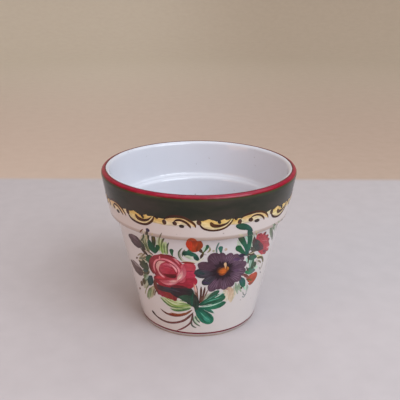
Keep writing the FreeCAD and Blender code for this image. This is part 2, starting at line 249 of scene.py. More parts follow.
mm = 0.001
pot_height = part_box("clay_body")[1].z
rim_radius = 67.1 * mm
lip_thickness = 5.0 * mm
lip_round = 2.36 * mm
lip_inner_round = lip_round * 0.98
crest_share = 0.58
collar_radius = 62.0 * mm
collar_round = 2.0 * mm
body_top_radius = 58.0 * mm
body_top_round = 2.5 * mm
step_height = 81.0 * mm
wall = 4.8 * mm
ledge_height = step_height + wall
ledge_round = 3.0 * mm
floor_height = 8.0 * mm
floor_round = 6.0 * mm
foot_radius = 41.5 * mm
foot_ring_width = 5.5 * mm
foot_ring_round = 0.9 * mm
bare_foot_height = 1.2 * mm
recess_depth = 2.5 * mm
recess_round = 1.2 * mm
body_slope = (body_top_radius - foot_radius) / step_height
collar_slope = (rim_radius - collar_radius) / (pot_height - step_height)
turns = 256
unevenness = 0.13 * mm
even_foot_height = 4 * mm
weld = 0.001 * mm


def rounded(corners, longest=3.2 * mm, arc_steps=7):
    """Points (radius, height) along lines through corners, with an arc at each rounding."""
    bends = [Vector(corners[0][:2])]
    for before, (radius, height, rounding), after in zip(corners, corners[1:], corners[2:]):
        corner = Vector((radius, height))
        if rounding == 0:
            bends.append(corner)
            continue
        back = (Vector(before[:2]) - corner).normalized()
        ahead = (Vector(after[:2]) - corner).normalized()
        half = back.angle(ahead) / 2
        centre = corner + (back + ahead).normalized() * rounding / math.sin(half)
        start = corner + back * rounding / math.tan(half) - centre
        end = corner + ahead * rounding / math.tan(half) - centre
        sweep = start.angle(end)
        for step in range(arc_steps + 1):
            share = step / arc_steps
            turned = start * math.sin((1 - share) * sweep) + end * math.sin(share * sweep)
            bends.append(centre + turned / math.sin(sweep))
    bends.append(Vector(corners[-1][:2]))
    points = bends[:1]
    for start, end in zip(bends, bends[1:]):
        count = max(1, round((end - start).length / longest))
        points += [start.lerp(end, step / count) for step in range(1, count + 1)]
    return points


def cast(point):
    """A point of the ideal form, moved as the slight unevenness of the casting has it."""
    outward = Vector((point.x, point.y, 0)).normalized()
    drift = noise.noise(point * 24) + 0.4 * noise.noise(point * 45)
    return point + outward * drift * unevenness * min(1, max(0, point.z) / even_foot_height)


def lathed(points, closed):
    """An outline of (radius, height) spun about the pot's axis."""
    bm = bmesh.new()
    verts = [bm.verts.new((point.x, 0, point.y)) for point in points]
    edges = [bm.edges.new(pair) for pair in zip(verts, verts[1:])]
    if closed:
        edges.append(bm.edges.new((verts[-1], verts[0])))
    bmesh.ops.spin(bm, geom=verts + edges, axis=(0, 0, 1), angle=2 * math.pi, steps=turns, use_merge=True)
    bmesh.ops.remove_doubles(bm, verts=bm.verts[:], dist=weld)
    bmesh.ops.recalc_face_normals(bm, faces=bm.faces[:])
    for vert in bm.verts:
        vert.co = cast(vert.co)
    return bm


def put_in_place(made, node):
    """The piece stands for its node, whose own mesh is hidden, on the pot's one body."""
    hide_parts(node)
    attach(made, "root")


crest = (rim_radius - crest_share * lip_thickness, pot_height, 0)
underside = rounded((
    (0, recess_depth, 0),
    (foot_radius - foot_ring_width, recess_depth, recess_round),
    (foot_radius - foot_ring_width, bare_foot_height, 0),
))
foot_ring = rounded((
    (foot_radius - foot_ring_width, bare_foot_height, 0),
    (foot_radius - foot_ring_width, 0, foot_ring_round),
    (foot_radius, 0, foot_ring_round),
    (foot_radius + body_slope * bare_foot_height, bare_foot_height, 0),
))
outside = rounded((
    (foot_radius + body_slope * bare_foot_height, bare_foot_height, 0),
    (body_top_radius, step_height, body_top_round),
    (collar_radius, step_height, collar_round),
    (rim_radius, pot_height, lip_round),
    crest,
))
inside = rounded((
    crest,
    (rim_radius - lip_thickness, pot_height, lip_inner_round),
    (rim_radius - lip_thickness - collar_slope * (pot_height - ledge_height), ledge_height, ledge_round),
    (body_top_radius - wall, ledge_height, ledge_round),
    (foot_radius + body_slope * floor_height - wall, floor_height, floor_round),
    (0, floor_height, 0),
))

biscuit = Finish("bare_clay", roughness=0.85)
grain = biscuit.place.noise(scale=1400, detail=5)
stain = biscuit.place.noise(scale=70, detail=3)
biscuit.feed("Base Color", (grain * 0.6 + stain * 0.5).ramp(
    (0.35, srgb("a98467")), (0.55, srgb("cfae90")), (0.75, srgb("dfc6ac"))))
biscuit.feed("Normal", grain.bump(distance=0.05 * mm, strength=1))
clay_outline = underside + foot_ring[1:] + outside[1:] + inside[1:]
put_in_place(add_object("pot_clay", lathed(clay_outline, False), biscuit), "clay_body")


# White glaze
# Poured inside and dipped outside, then fired glossy. Inside it is a cooler white, which is painted
# bluish light from the window. It is warmer on the collar, tan on the collar's lower round, where thin
# glaze and painted shade under the edge meet, slightly cloudy, and stops short of the foot ring.

glaze = 0.4 * mm
whites = ("dfdad9", "e1d6ca", "d9d3d4")
# Painted light: the inside's whites are cooler, standing in for bluish light from the window
window_lit_whites = ("d5d5dc", "d7d4d8", "cfd0d8")
collar_warmth = 0.4
thin_shaded_edge_height = step_height + 1.0 * mm
thin_shaded_edge_reach = 2.4 * mm
speck_strength = 0.55
pinhole_depth_share = 0.08


def raised(points, distance):
    """The outline moved out of the clay by a distance."""
    moved = []
    for index, point in enumerate(points):
        along = points[min(index + 1, len(points) - 1)] - points[max(index - 1, 0)]
        moved.append(point + Vector((along.y, -along.x)).normalized() * distance)
        if point.x == 0:
            moved[-1].x = 0
    return moved


for name, surface, node, (first, second, third) in (
    ("outside", outside, "outer_glaze", whites),
    ("inside", inside, "inner_glaze", window_lit_whites),
    ("underneath", underside, "base_glaze", whites),
):
    glazed = Finish("glaze_white_" + name, roughness=0.35, coat=1.0, coat_roughness=0.04, specular=0.2)
    cloud = glazed.place.noise(scale=24, detail=3)
    cream = glazed.place.noise(scale=11, detail=2).between(0.40, 0.62)
    white = cloud.blend(cream.blend(srgb(first), srgb(second)), srgb(third))
    if node == "outer_glaze":
        on_collar = glazed.place.part(2).between(step_height - 1.0 * mm, step_height + 3.0 * mm)
        white = (on_collar * collar_warmth).blend(white, srgb("d8c2b3"))
        # Thin glaze and painted shade: a tan line on the collar's lower round, where shade falls under the
        # collar's edge
        above_edge = glazed.place.part(2) - thin_shaded_edge_height
        thin = 1 - (above_edge * above_edge).between(0.0, thin_shaded_edge_reach ** 2)
        white = (thin * (0.45 + cloud * 0.5)).blend(white, srgb("a88c78"))
    speck = glazed.place.noise(scale=330, detail=1).between(0.76, 0.80)
    glazed.feed("Base Color", (speck * speck_strength).blend(white, srgb("857368")))
    ripple = glazed.place.noise(scale=60, detail=2)
    pinhole = glazed.place.noise(scale=800, detail=1).between(0.72, 0.78)
    glazed.feed("Normal", (ripple - pinhole * pinhole_depth_share).bump(distance=0.25 * mm, strength=0.35))
    # The outline runs from the axis back to the axis, or closes on itself where the coat is a ring
    if surface[0].x > 0:
        outline = surface[::-1] + raised(surface, glaze)
    else:
        outline = surface + raised(surface, glaze)[::-1]
    is_ring = outline[0].x > 0
    put_in_place(add_object("pot_glaze_" + name, lathed(outline, is_ring), glazed), node)


# Bands
# A crimson line over the outer half of the lip, a dark band laid on with a full brush while
# the pot turned, and a thin crimson line round the foot.

# Paint is placed on the glaze by an angle in degrees from the front and a height in
# millimetres, or a slant, which is the way up the surface from the foot in millimetres.
foot_line_start, foot_line_end = 2.4, 3.8
band_start, band_end = 94.8, 111.0
rim_line_start, bare_past_rim_line = 110.0, 0.8
body_end, collar_start = 78.6, 83.2
lowest_lift = 0.02
level_lift = 0.04
mark_lift, mark_lifts = 0.002, 9
edge_dip = 0.03
band_edge_dip = 0.05
paint_depth = 0.26 * mm
fraying = 0.10
liner_width = 1.6
rows_per_mm = 1.1
streak_shift = 17.3
points_over_crest = 8
skin = [point * 1000 for point in raised(outside + inside[1:4], glaze)]
heights = [point.y for point in skin]
slants = [0.0]
for start, end in zip(skin, skin[1:]):
    slants.append(slants[-1] + (end - start).length)


def slant_of(height):
    """The slant of a height; heights about the step are spread over it."""
    if body_end < height < collar_start:
        share = (height - body_end) / (collar_start - body_end)
        return slant_of(body_end) * (1 - share) + slant_of(collar_start) * share
    index = min(len(skin) - 1, max(1, bisect_left(heights, height, 0, len(skin) - points_over_crest)))
    share = (height - heights[index - 1]) / (heights[index] - heights[index - 1])
    return slants[index - 1] + share * (slants[index] - slants[index - 1])


def surface_at(slant):
    """The glaze's outline at a slant, and which way is out of it."""
    index = min(len(skin) - 1, max(1, bisect_left(slants, slant)))
    share = (slant - slants[index - 1]) / (slants[index] - slants[index - 1])
    along = skin[min(index + 1, len(skin) - 1)] - skin[max(index - 2, 0)]
    return skin[index - 1].lerp(skin[index], share), Vector((along.y, -along.x)).normalized()


def on_skin(angle, slant, lift):
    """The point at an angle and a slant, lifted off the glaze, in metres."""
    point, outward = surface_at(slant)
    point = (point + outward * lift) * mm
    turn = math.radians(angle)
    return cast(Vector((point.x * math.sin(turn), -point.x * math.cos(turn), point.y)))


def pigments(codes):
    """The enamel's own colours, from how they look on the pot under a slight sheen in soft light."""
    return [[min(0.9, max(0.002, value - 0.015) * 1.3) for value in srgb(code)[:3]] + [1]
            for code in codes.split()]


def mixed(paints, share):
    """A colour out of a row of paints, by how far along it is."""
    spot = min(max(share, 0), 0.9999) * (len(paints) - 1)
    first, second = paints[int(spot)], paints[min(int(spot) + 1, len(paints) - 1)]
    return [a + (b - a) * (spot - int(spot)) for a, b in zip(first, second)]


# The next functions give a stroke's width at a share of its length, one for each way of using the brush
def even(along, set_down, lift_off, power):
    """Full width but for the share where the brush is set down and the share where it lifts off."""
    return min(1, along / set_down) ** power * min(1, (1 - along) / lift_off) ** power


def line(along):
    return even(along, 0.2, 0.14, 0.6)


def block(along):
    return even(along, 0.16, 0.12, 0.5)


def drop(along, widest, power):
    """Pointed where the brush is set down, and round beyond its widest place."""
    if along < widest:
        return (along / widest) ** power
    return math.sqrt(max(0, 1 - ((along - widest) / (1 - widest)) ** 2))


def comma(along):
    return drop(along, 0.78, 0.7)


def bud(along):
    return drop(along, 0.62, 0.5)


def leaf(along):
    return math.sin(math.pi * along) ** 0.75


def dab(along):
    return math.sqrt(max(0, 1 - (2 * along - 1) ** 2))


def smooth_path(knots, steps=10):
    """Points on the smooth curve through knots, as many between any two of them."""
    points = []
    for before, start, end, after in zip(knots[:1] + knots, knots, knots[1:], knots[2:] + knots[-1:]):
        for step in range(steps):
            t = step / steps
            points.append(0.5 * (2 * start + (end - before) * t
                                 + (2 * before - 5 * start + 4 * end - after) * t ** 2
                                 + (3 * start - before - 3 * end + after) * t ** 3))
    return points + knots[-1:]


class Painting:
    """Brush marks of one colour family, each a thin closed cushion on the glaze.

    A mark's colours are one string of hex codes, from its start to its end. Level says how high
    it lies among the layers of paint, and thin how far the white under it shows through.
    """

    def __init__(self):
        self.bm = bmesh.new()
        self.colour = self.bm.verts.layers.float_color.new("paint")
        self.brush = self.bm.verts.layers.float_vector.new("brush")
        self.marks = 0

    def mark(self, steps_along, steps_across, place):
        """A grid laid by place(along, across): point, colour and brush values of each vertex."""
        self.marks += 1
        grid = bmesh.ops.create_grid(self.bm, x_segments=steps_along, y_segments=steps_across, size=1)
        for vert in grid["verts"]:
            along, across = (vert.co.x + 1) / 2, vert.co.y
            vert.co, vert[self.colour], vert[self.brush] = place(along, across)

    def ring(self, low, high, lift, sway, colours):
        """A band right round the pot between two slants, with slightly unsteady edges."""
        paints = pigments(colours)
        phase = random.uniform(0, 9)
        half = (high - low) / 2

        def place(along, across):
            angle = -180 + 360 * along
            turn = math.radians(angle)
            wave = Vector((math.cos(turn), math.sin(turn), across + phase))
            edge = noise.noise(wave * 2) + 0.6 * noise.noise(wave * 7) + 0.3 * noise.noise(wave * 19)
            slant = (low + high) / 2 + across * half + edge * sway * abs(across) ** 4
            point = on_skin(angle, min(slant, slants[-1]), lift - band_edge_dip * across ** 8)
            return point, mixed(paints, (across + 1) / 2), (along * 360, across * half, abs(across))

        self.mark(720, max(6, round((high - low) / 0.5)), place)
        bmesh.ops.remove_doubles(self.bm, verts=self.bm.verts[:], dist=weld / 2)

    def stroke(self, level, kind, width, colours, *places, thin=0.5):
        """A stroke of the brush through places (angle, height)."""
        paints = pigments(colours)
        points = smooth_path([Vector((angle, slant_of(height))) for angle, height in places])
        per_degree = [math.radians(1) * surface_at(point.y)[0].x for point in points]
        moves = []
        for start, end, scale in zip(points, points[1:], per_degree):
            move = end - start
            moves.append(Vector((move.x * scale, move.y)))
        lengths = [0.0]
        for move in moves:
            lengths.append(lengths[-1] + max(move.length, 1e-6))
        seed = random.uniform(0, 90)
        shift = self.marks * streak_shift

        def place(along, across):
            # Rows and columns crowd towards the ends and the edges, where the cushion curves most
            along = (1 - math.cos(math.pi * along)) / 2
            across = math.sin(across * math.pi / 2)
            length = along * lengths[-1]
            index = min(len(moves) - 1, max(0, bisect_left(lengths, length) - 1))
            share = (length - lengths[index]) / (lengths[index + 1] - lengths[index])
            middle = points[index].lerp(points[index + 1], share)
            nearest = moves[max(index - 1, 0)] if share < 0.5 else moves[min(index + 1, len(moves) - 1)]
            heading = moves[index].normalized().lerp(nearest.normalized(), abs(share - 0.5)).normalized()
            side = 1 if across > 0 else -1
            fray = 1 + fraying * noise.noise(Vector((length * 0.6, side * 5, seed)))
            half = max(0.02, width / 2 * kind(along) * fray)
            angle = middle.x - heading.y * across * half / per_degree[index]
            slant = middle.y + heading.x * across * half
            lift = lowest_lift + level_lift * level + mark_lift * (self.marks % mark_lifts)
            point = on_skin(angle, slant, lift - edge_dip * across ** 4)
            brush = (length + shift, across * half + shift, abs(across) ** 2)
            return point, mixed(paints, along)[:3] + [thin], brush

        steps_along = int(min(40, max(10, lengths[-1] * rows_per_mm)))
        self.mark(steps_along, 6 if width < liner_width else 8, place)

    def patch(self, level, colours, lower, upper, thin=0.4):
        """A patch between a lower and an upper edge, each a row of places."""
        paints = pigments(colours)
        shift = self.marks * streak_shift

        def edge(places, along):
            spot = min(along, 0.9999) * (len(places) - 1)
            index = int(spot)
            return Vector(places[index]).lerp(Vector(places[index + 1]), spot - index)

        def place(along, across):
            spot = edge(lower, along).lerp(edge(upper, along), (across + 1) / 2)
            rim = max(abs(across), abs(2 * along - 1))
            lift = lowest_lift + level_lift * level - edge_dip * rim ** 6
            colour = mixed(paints, (across + 1) / 2)[:3] + [thin]
            brush = (spot.x + shift, spot.y + shift, 0)
            return on_skin(spot.x, slant_of(spot.y), lift), colour, brush

        self.mark(26, 6, place)

    def fire(self, name, node, finish):
        """Close every mark underneath and put the whole in place of its node."""
        grown = bmesh.ops.extrude_face_region(self.bm, geom=self.bm.faces[:])
        for vert in grown["geom"]:
            if isinstance(vert, bmesh.types.BMVert):
                inward = -Vector((vert.co.x, vert.co.y, 0)).normalized()
                if vert.co.z > pot_height - lip_round:
                    inward.z = -1
                vert.co += inward * paint_depth
        bmesh.ops.recalc_face_normals(self.bm, faces=self.bm.faces[:])
        put_in_place(add_object(name, self.bm, finish), node)


def enamel(name, whitening, pooling):
    """Glossy brushed enamel: its colour comes with each mark, streaked along and darker at the edge."""
    finish = Finish(name, roughness=0.4, coat=0.6, coat_roughness=0.05, specular=0.05)
    paint = finish.attribute("paint", "Color")
    thinness = finish.attribute("paint", "Alpha")
    brush = finish.attribute("brush", "Vector")
    streak = brush.times((0.16, 1.7, 0.0)).noise(scale=1.0, detail=3).between(0.35, 0.75)
    cloud = finish.place.noise(scale=300, detail=2).between(0.3, 0.7)
    body = streak * 0.6 + cloud * 0.4
    toned = body.blend(paint.times((0.70, 0.72, 0.72)), paint.times((1.24, 1.22, 1.22)))
    pale = (body * thinness * whitening).blend(toned, (0.70, 0.66, 0.64, 1))
    pooled = (brush.part(2) ** 3) * pooling
    finish.feed("Base Color", pooled.blend(pale, paint.times((0.45, 0.42, 0.42))))
    finish.feed("Normal", (streak * 0.4 + cloud * 0.6).bump(distance=0.05 * mm, strength=0.3))
    return finish


random.seed(7)
crimson = enamel("enamel_crimson", whitening=0.0, pooling=0.1)
rim_line = Painting()
# Painted shade: the crimson darkens towards its lower edge, on the lip's downward round; it is also darkest
# at its top edge by the crest
rim_line.ring(slant_of(rim_line_start), slants[-1] - bare_past_rim_line, lift=0.12, sway=0.25,
              colours="6c2024 8a2232 902a3c 802034 3c1418")
rim_line.fire("pot_rim_line", "rim_line", crimson)
foot_line = Painting()
foot_line.ring(slant_of(foot_line_start), slant_of(foot_line_end), lift=0.04, sway=0.12,
               colours="7c1834 641a2c")
foot_line.fire("pot_foot_line", "foot_line", crimson)

dark_green = Finish("enamel_dark_green", roughness=0.4, coat=0.6, coat_roughness=0.05, specular=0.05)
patchy = dark_green.place.times((1, 1, 3)).noise(scale=34, detail=4)
dark = patchy.ramp((0.36, srgb("23271c")), (0.50, srgb("302f24")), (0.64, srgb("3b342d")))
near_rim = dark_green.attribute("brush", "Vector").part(1).between(4.6, 7.0)
dark_green.feed("Base Color", (near_rim * 0.65).blend(dark, srgb("3e4420")))
green_band = Painting()
green_band.ring(slant_of(band_start), slant_of(band_end), lift=0.06, sway=0.3, colours="2c2c22")
green_band.fire("pot_green_band", "green_band", dark_green)


# Scroll border
# Under the dark band the painter set a bowl and an arch in turn, eight times round: yellow
# laid over the band's edge, then brown lines and dabs in free hand.

repeats = 8
spacing = 360 / repeats
first_bowl = 9.2
bowl_reach = 9.2
arch_left_reach, arch_right_reach = 8.4, 9.6
brown, umber = "38240a 482e0c 583a14", "2c240c 382c10"
bowl_line = ((-9.0, 95.6), (-8.6, 93.0), (-6.8, 90.5), (-3.8, 89.1), (-0.4, 88.6), (3.2, 89.0), (6.2, 90.5),
             (8.2, 92.5), (9.4, 94.7), (9.7, 96.6))
bowl_top = ((-8.6, 95.4), (-6.4, 95.8), (-4.6, 97.2), (-3.2, 98.2), (-1.8, 96.6), (-0.2, 95.0), (1.4, 94.4),
            (2.8, 95.9), (4.4, 97.1), (5.2, 95.4), (7.6, 95.8), (9.4, 96.6))
bowl_comma = ((8.5, 95.8), (6.4, 93.4), (3.4, 92.0), (0.4, 91.7), (-1.8, 92.6), (-2.7, 94.8))
bowl_dabs = (
    (2.6, 3.0, brown, (-9.6, 96.2), (-8.6, 92.8)),
    (2.8, 2.1, umber, (1.4, 95.8), (2.6, 93.1)),
    (2.6, 2.0, umber, (10.6, 96.8), (11.8, 94.6)),
)
arch_line = ((-8.6, 94.6), (-7.6, 95.9), (-5.4, 97.2), (-2.2, 98.0), (1.4, 98.0), (5.2, 97.0), (8.8, 94.8),
             (10.8, 92.5), (11.4, 90.6))
arch_floor = ((-8.6, 92.0), (-4.0, 91.0), (0.0, 91.2), (4.0, 92.0), (7.0, 92.4), (10.4, 91.4))
arch_comma = ((-2.3, 94.2), (-0.2, 95.4), (2.4, 95.4), (5.4, 94.2), (7.6, 92.0), (8.2, 90.2))
arch_dabs = (
    (2.8, 2.7, brown, (-3.2, 93.8), (-0.4, 92.2)),
    (2.8, 2.4, umber, (1.0, 91.7), (4.4, 91.1)),
    (2.6, 2.9, brown, (-8.8, 94.9), (-8.5, 91.3)),
)
# The two repeats at the front, as the photo has them: shifts, stretches and the pen's width
front_repeats = {0: (0, 0, 1, 0, 1, 1.25), 7: (1.2, 0.2, 1, 0.6, 0.86, 1.6)}


def by_hand(places, hand, centre, low, stretch):
    """A motif's places set about a centre, each a little off as a free hand has it."""
    return [(centre + angle * stretch + hand.uniform(-0.15, 0.15), height + low + hand.uniform(-0.12, 0.12))
            for angle, height in places]


yellow_border = Painting()
scroll_outlines = Painting()
for repeat in range(repeats):
    hand = random.Random(40 + repeat)
    shift, low, stretch = hand.uniform(-1, 1), hand.uniform(-0.3, 0.4), hand.uniform(0.94, 1.08)
    arch_shift, arch_stretch, pen = hand.uniform(-0.5, 0.8), hand.uniform(0.92, 1.04), 1.5
    if repeat in front_repeats:
        shift, low, stretch, arch_shift, arch_stretch, pen = front_repeats[repeat]

    centre = first_bowl + spacing * repeat + shift
    spot = (hand, centre, low, stretch)
    outer = by_hand(bowl_line, *spot)
    yellow_border.patch(1, "d8c49c dcc480 d8b45c c89c44", outer, by_hand(bowl_top, *spot))
    scroll_outlines.stroke(2.5, line, pen, brown, *outer, thin=0.1)
    scroll_outlines.stroke(2.7, comma, 2.7, brown, *by_hand(bowl_comma, *spot), thin=0.1)
    for level, width, colours, *places in bowl_dabs:
        scroll_outlines.stroke(level, dab, width, colours, *by_hand(places, *spot))
    bowl_end = centre + bowl_reach * stretch

    centre += spacing / 2 + arch_shift
    spot = (hand, centre, low, arch_stretch)
    outer = by_hand(arch_line, *spot)
    yellow_border.patch(1, "d8ccb4 dcc490 d8b068 c89c50", by_hand(arch_floor, *spot), outer, thin=0.6)
    scroll_outlines.stroke(2.5, line, pen, brown, *outer, thin=0.1)
    scroll_outlines.stroke(2.7, line, pen, brown, *by_hand(arch_comma, *spot), thin=0.1)
    for level, width, colours, *places in arch_dabs:
        scroll_outlines.stroke(level, dab, width, colours, *by_hand(places, *spot))
    arch_start = centre - arch_left_reach * arch_stretch
    arch_end = centre + arch_right_reach * arch_stretch

    yellow_border.patch(1, "dcc48c d8b464 cca048", ((bowl_end - 1.2, 91.8), (arch_start, 91.2)),
                        ((bowl_end, 95.8), (arch_start, 95.6)))
    yellow_border.patch(0.9, "dccca8 d8c490", ((arch_start - 0.6, 91.4), (arch_start + 3.0, 91.2)),
                        ((arch_start - 0.6, 95.4), (arch_start + 3.0, 95.8)))
    yellow_border.patch(1, "d8ccb0 d4c090", ((arch_end, 92.8), (arch_end + 3.6, 93.0)),
                        ((arch_end, 95.4), (arch_end + 3.6, 96.6)))

yellow_border.fire("pot_scroll_yellow", "yellow_border",
                   enamel("enamel_yellow", whitening=0.7, pooling=0.1))
scroll_outlines.fire("pot_scroll_lines", "scroll_outlines",
                     enamel("enamel_brown", whitening=0.1, pooling=0.1))


# Leaves, blades and stems
# The spray's greenery: strokes of full green, thinner green let down with water, fine
# blades drawn with a liner, and long brown lines that run out to the lower left.

pale_leaves = Painting()
for level, kind, width, colours, *places in (
    # Washes behind the strokes on the left
    (0.1, leaf, 6.4, "a4a488 b0aa90 b8b09c", (-37.6, 65.6), (-39.6, 71.0), (-37.4, 78.6)),
    (0.1, leaf, 4.6, "a8a084 b0a890 b8ac98", (-38.4, 59.0), (-43.4, 58.0), (-49.6, 54.4)),
    (0.1, leaf, 5.4, "a09c80 aca48c b4a894", (-38.6, 50.4), (-43.4, 47.4), (-48.6, 43.0)),
    (0.1, leaf, 5.6, "94a07c a4a88c b0ac98", (-40.0, 44.4), (-45.4, 38.4), (-51.0, 31.6)),
    (0.1, leaf, 4.4, "a49c7c b0a88c", (-37.0, 37.0), (-41.0, 31.4), (-45.2, 25.0)),
    # Behind the strokes above the rose on the left
    (0.2, leaf, 3.4, "a8ac84 b4b694", (-36.4, 67.0), (-37.6, 72.4), (-36.0, 78.4)),
    (0.3, leaf, 2.2, "a09a64 b8b088 c4b8a0", (-35.4, 74.0), (-35.4, 79.4), (-33.0, 84.8)),
    (0.3, leaf, 1.8, "8aae98 9cb8a4", (-32.6, 66.8), (-34.8, 70.4), (-35.0, 74.4)),
    (0.3, leaf, 2.0, "9c8238 a48c48 b8a474", (-30.4, 76.6), (-29.2, 80.6), (-27.0, 84.0)),
    (0.2, leaf, 4.4, "90b050 a4be70 b8c498", (-24.2, 66.8), (-24.4, 72.0), (-23.6, 79.0)),
    (0.2, leaf, 3.0, "98b468 b4c494", (-21.6, 67.0), (-22.0, 71.4), (-21.0, 77.4)),
    (0.2, leaf, 2.6, "a8bc88 c0cab0", (-26.6, 68.0), (-27.0, 74.0), (-25.0, 81.0)),
    # Between the leaves at the rose's left
    (0.2, leaf, 3.6, "a8a084 b8ac94", (-38.4, 60.6), (-42.6, 60.4), (-46.4, 57.4)),
    (2.6, leaf, 1.5, "b4bca8 a8b09c", (-41.6, 56.0), (-39.8, 57.0), (-38.2, 56.4)),
    (0.3, leaf, 3.2, "8c9c80 a4a890", (-40.8, 47.4), (-44.6, 43.6), (-47.6, 39.6)),
    (2.5, leaf, 1.1, "94b49c 84a890", (-40.4, 45.8), (-42.8, 43.2), (-45.2, 40.6)),
    (0.2, leaf, 4.0, "a0946c a89c7c b4b094", (-36.2, 38.6), (-40.4, 33.6), (-44.6, 27.6)),
    # The striped leaf at the lower left
    (0.2, leaf, 8.8, "98b070 a8bc7c b8c48c a8b888", (-4.8, 27.4), (-17.0, 26.6), (-32.6, 29.8)),
    (0.3, leaf, 3.6, "b4c48c c0cc9c", (-12.0, 29.6), (-21.0, 29.6), (-29.6, 30.4)),
    # Thin leaves from the tie
    (0.4, leaf, 1.5, "98c0ac b0ccbc", (5.0, 25.2), (10.6, 23.4), (13.8, 19.4)),
    (2.8, leaf, 1.5, "b0d4c0 94c4ac", (1.2, 26.6), (10.4, 27.3), (20.0, 29.8)),
    (2.8, leaf, 1.2, "a8c4b0 b8ccbc", (12.6, 33.8), (16.6, 35.8), (20.4, 38.4)),
    (0.4, leaf, 2.4, "a0b898 b8c8b0", (-3.8, 18.0), (-2.6, 13.0), (1.0, 10.2)),
    (0.4, leaf, 2.0, "98b890 b0c4a4", (-2.0, 19.4), (-0.6, 16.4), (1.4, 13.4)),
    (0.4, leaf, 4.0, "8c9880 a0a890", (3.8, 33.0), (8.0, 35.4), (11.6, 38.6)),
    # Pale blades and a wash under the daisy
    (0.2, leaf, 5.6, "bc9478 c8ac8c ccb898", (23.6, 41.4), (26.2, 35.4), (27.4, 27.0)),
    (0.15, leaf, 4.8, "c4ac90 ccbea4 d0c6b2", (19.4, 40.0), (21.6, 35.6), (23.4, 28.8)),
    (0.15, leaf, 3.2, "c8b89c d0c8b0", (28.8, 40.6), (29.6, 35.0), (28.8, 29.4)),
    (0.3, leaf, 2.4, "a07058 b89078", (20.0, 40.4), (23.4, 39.6), (26.2, 37.8)),
    (0.5, leaf, 2.6, "688468 84987c a4ac98", (28.8, 43.6), (30.8, 38.0), (33.2, 32.6)),
    (0.6, leaf, 2.2, "7c9474 90a284", (31.2, 42.6), (33.8, 37.4), (36.6, 33.4)),
    (0.4, leaf, 1.6, "a4a488 b4b09c", (27.6, 41.0), (29.2, 36.6), (29.8, 32.6)),
    (2.6, leaf, 2.0, "a4dcb8 acd0b8", (38.0, 37.8), (39.6, 35.8), (41.2, 34.2)),
    (0.6, leaf, 2.0, "708c78 8c9c8c a4a8a0", (41.2, 38.4), (42.8, 34.4), (42.0, 30.4)),
    # Round the greens above the daisy
    (0.2, leaf, 3.2, "b0c8a8 b8ccb4 c0c8b4", (30.0, 65.8), (28.0, 71.4), (25.0, 77.6)),
    (0.3, leaf, 2.2, "b0c8b4 c0ccb4", (32.0, 70.0), (29.0, 75.4), (26.0, 80.0)),
    (2.9, leaf, 1.5, "94ccb0 a4d4bc", (33.0, 75.4), (31.8, 78.0), (30.2, 80.6)),
    (0.3, leaf, 3.0, "98ac90 a8b8a4 b0b49c", (35.4, 66.0), (37.8, 73.0), (36.0, 81.6)),
    (0.2, leaf, 2.4, "b0a068 b4a880", (40.6, 77.0), (38.6, 80.0), (34.6, 84.0)),
    (0.2, leaf, 2.0, "a89c70 b4a888", (26.8, 80.6), (25.4, 82.8), (23.0, 84.0)),
    # Round the leaves at the daisy's right
    (0.3, leaf, 3.0, "98ccb0 90b8a0", (34.8, 61.4), (37.4, 58.4), (40.4, 56.0)),
    (0.3, leaf, 4.0, "68947c 7ca48c", (39.4, 59.4), (40.6, 55.6), (40.8, 51.6)),
    (0.2, leaf, 3.4, "b8b078 c4bc8c c8bfa0", (44.6, 60.8), (49.0, 57.8), (54.6, 56.2)),
    (0.4, leaf, 3.0, "98c4a4 b4d0b4", (44.8, 51.8), (48.0, 50.0), (50.4, 49.0)),
    (0.2, leaf, 4.0, "b8aca0 c0b8b0", (44.8, 57.0), (47.6, 54.0), (50.6, 51.6)),
    # Faint grey-green strokes far right, across the step
    (0.3, leaf, 2.8, "788c6c 7c8c70 8c9c84", (49.0, 84.2), (57.0, 79.4), (66.4, 73.6)),
    (0.3, leaf, 5.0, "84906c 7c886c 949c84", (54.0, 81.0), (58.0, 75.0), (61.4, 69.2)),
    (0.4, leaf, 3.2, "687458 545c4c 6c7064", (58.4, 75.0), (62.8, 69.0), (66.4, 64.0)),
    (0.35, leaf, 3.2, "8c9c7c 94a488 9ca894", (55.6, 84.0), (62.4, 78.6), (66.0, 70.6)),
    (0.45, leaf, 3.4, "6c7864 5c6854 6c7468", (61.0, 83.4), (68.0, 77.6), (70.6, 70.4)),
    (0.3, leaf, 1.4, "a09c88 a8a494", (50.4, 81.8), (53.6, 79.8), (56.0, 77.6)),
    # Curl under the orange bud, and the light on the leaf above it
    (0.8, line, 1.7, "6c6c58 8c8c74 c8c8b0 ccc8b4 c4c8b0", (-11.0, 73.0), (-12.5, 70.2), (-12.4, 67.2),
     (-10.8, 64.6), (-7.8, 63.1), (-3.8, 63.4), (0.0, 64.2), (3.6, 66.8)),
    (2.7, leaf, 2.5, "a8bc9c c0ccb4", (-9.6, 67.6), (-6.6, 67.2), (-3.2, 65.2)),
    (2.7, leaf, 1.5, "a4c4ac b0ccb4", (3.0, 71.4), (3.4, 73.6), (4.6, 75.8)),
    (0.3, dab, 2.2, "b89c84", (16.8, 71.4), (18.8, 72.2)),
    (0.3, dab, 1.8, "98987c", (8.8, 71.4), (10.4, 71.8)),
):
    pale_leaves.stroke(level, kind, width, colours, *places, thin=0.5)
pale_leaves.fire("spray_pale_leaves", "pale_leaves",
                 enamel("enamel_pale_green", whitening=0.7, pooling=0.0))

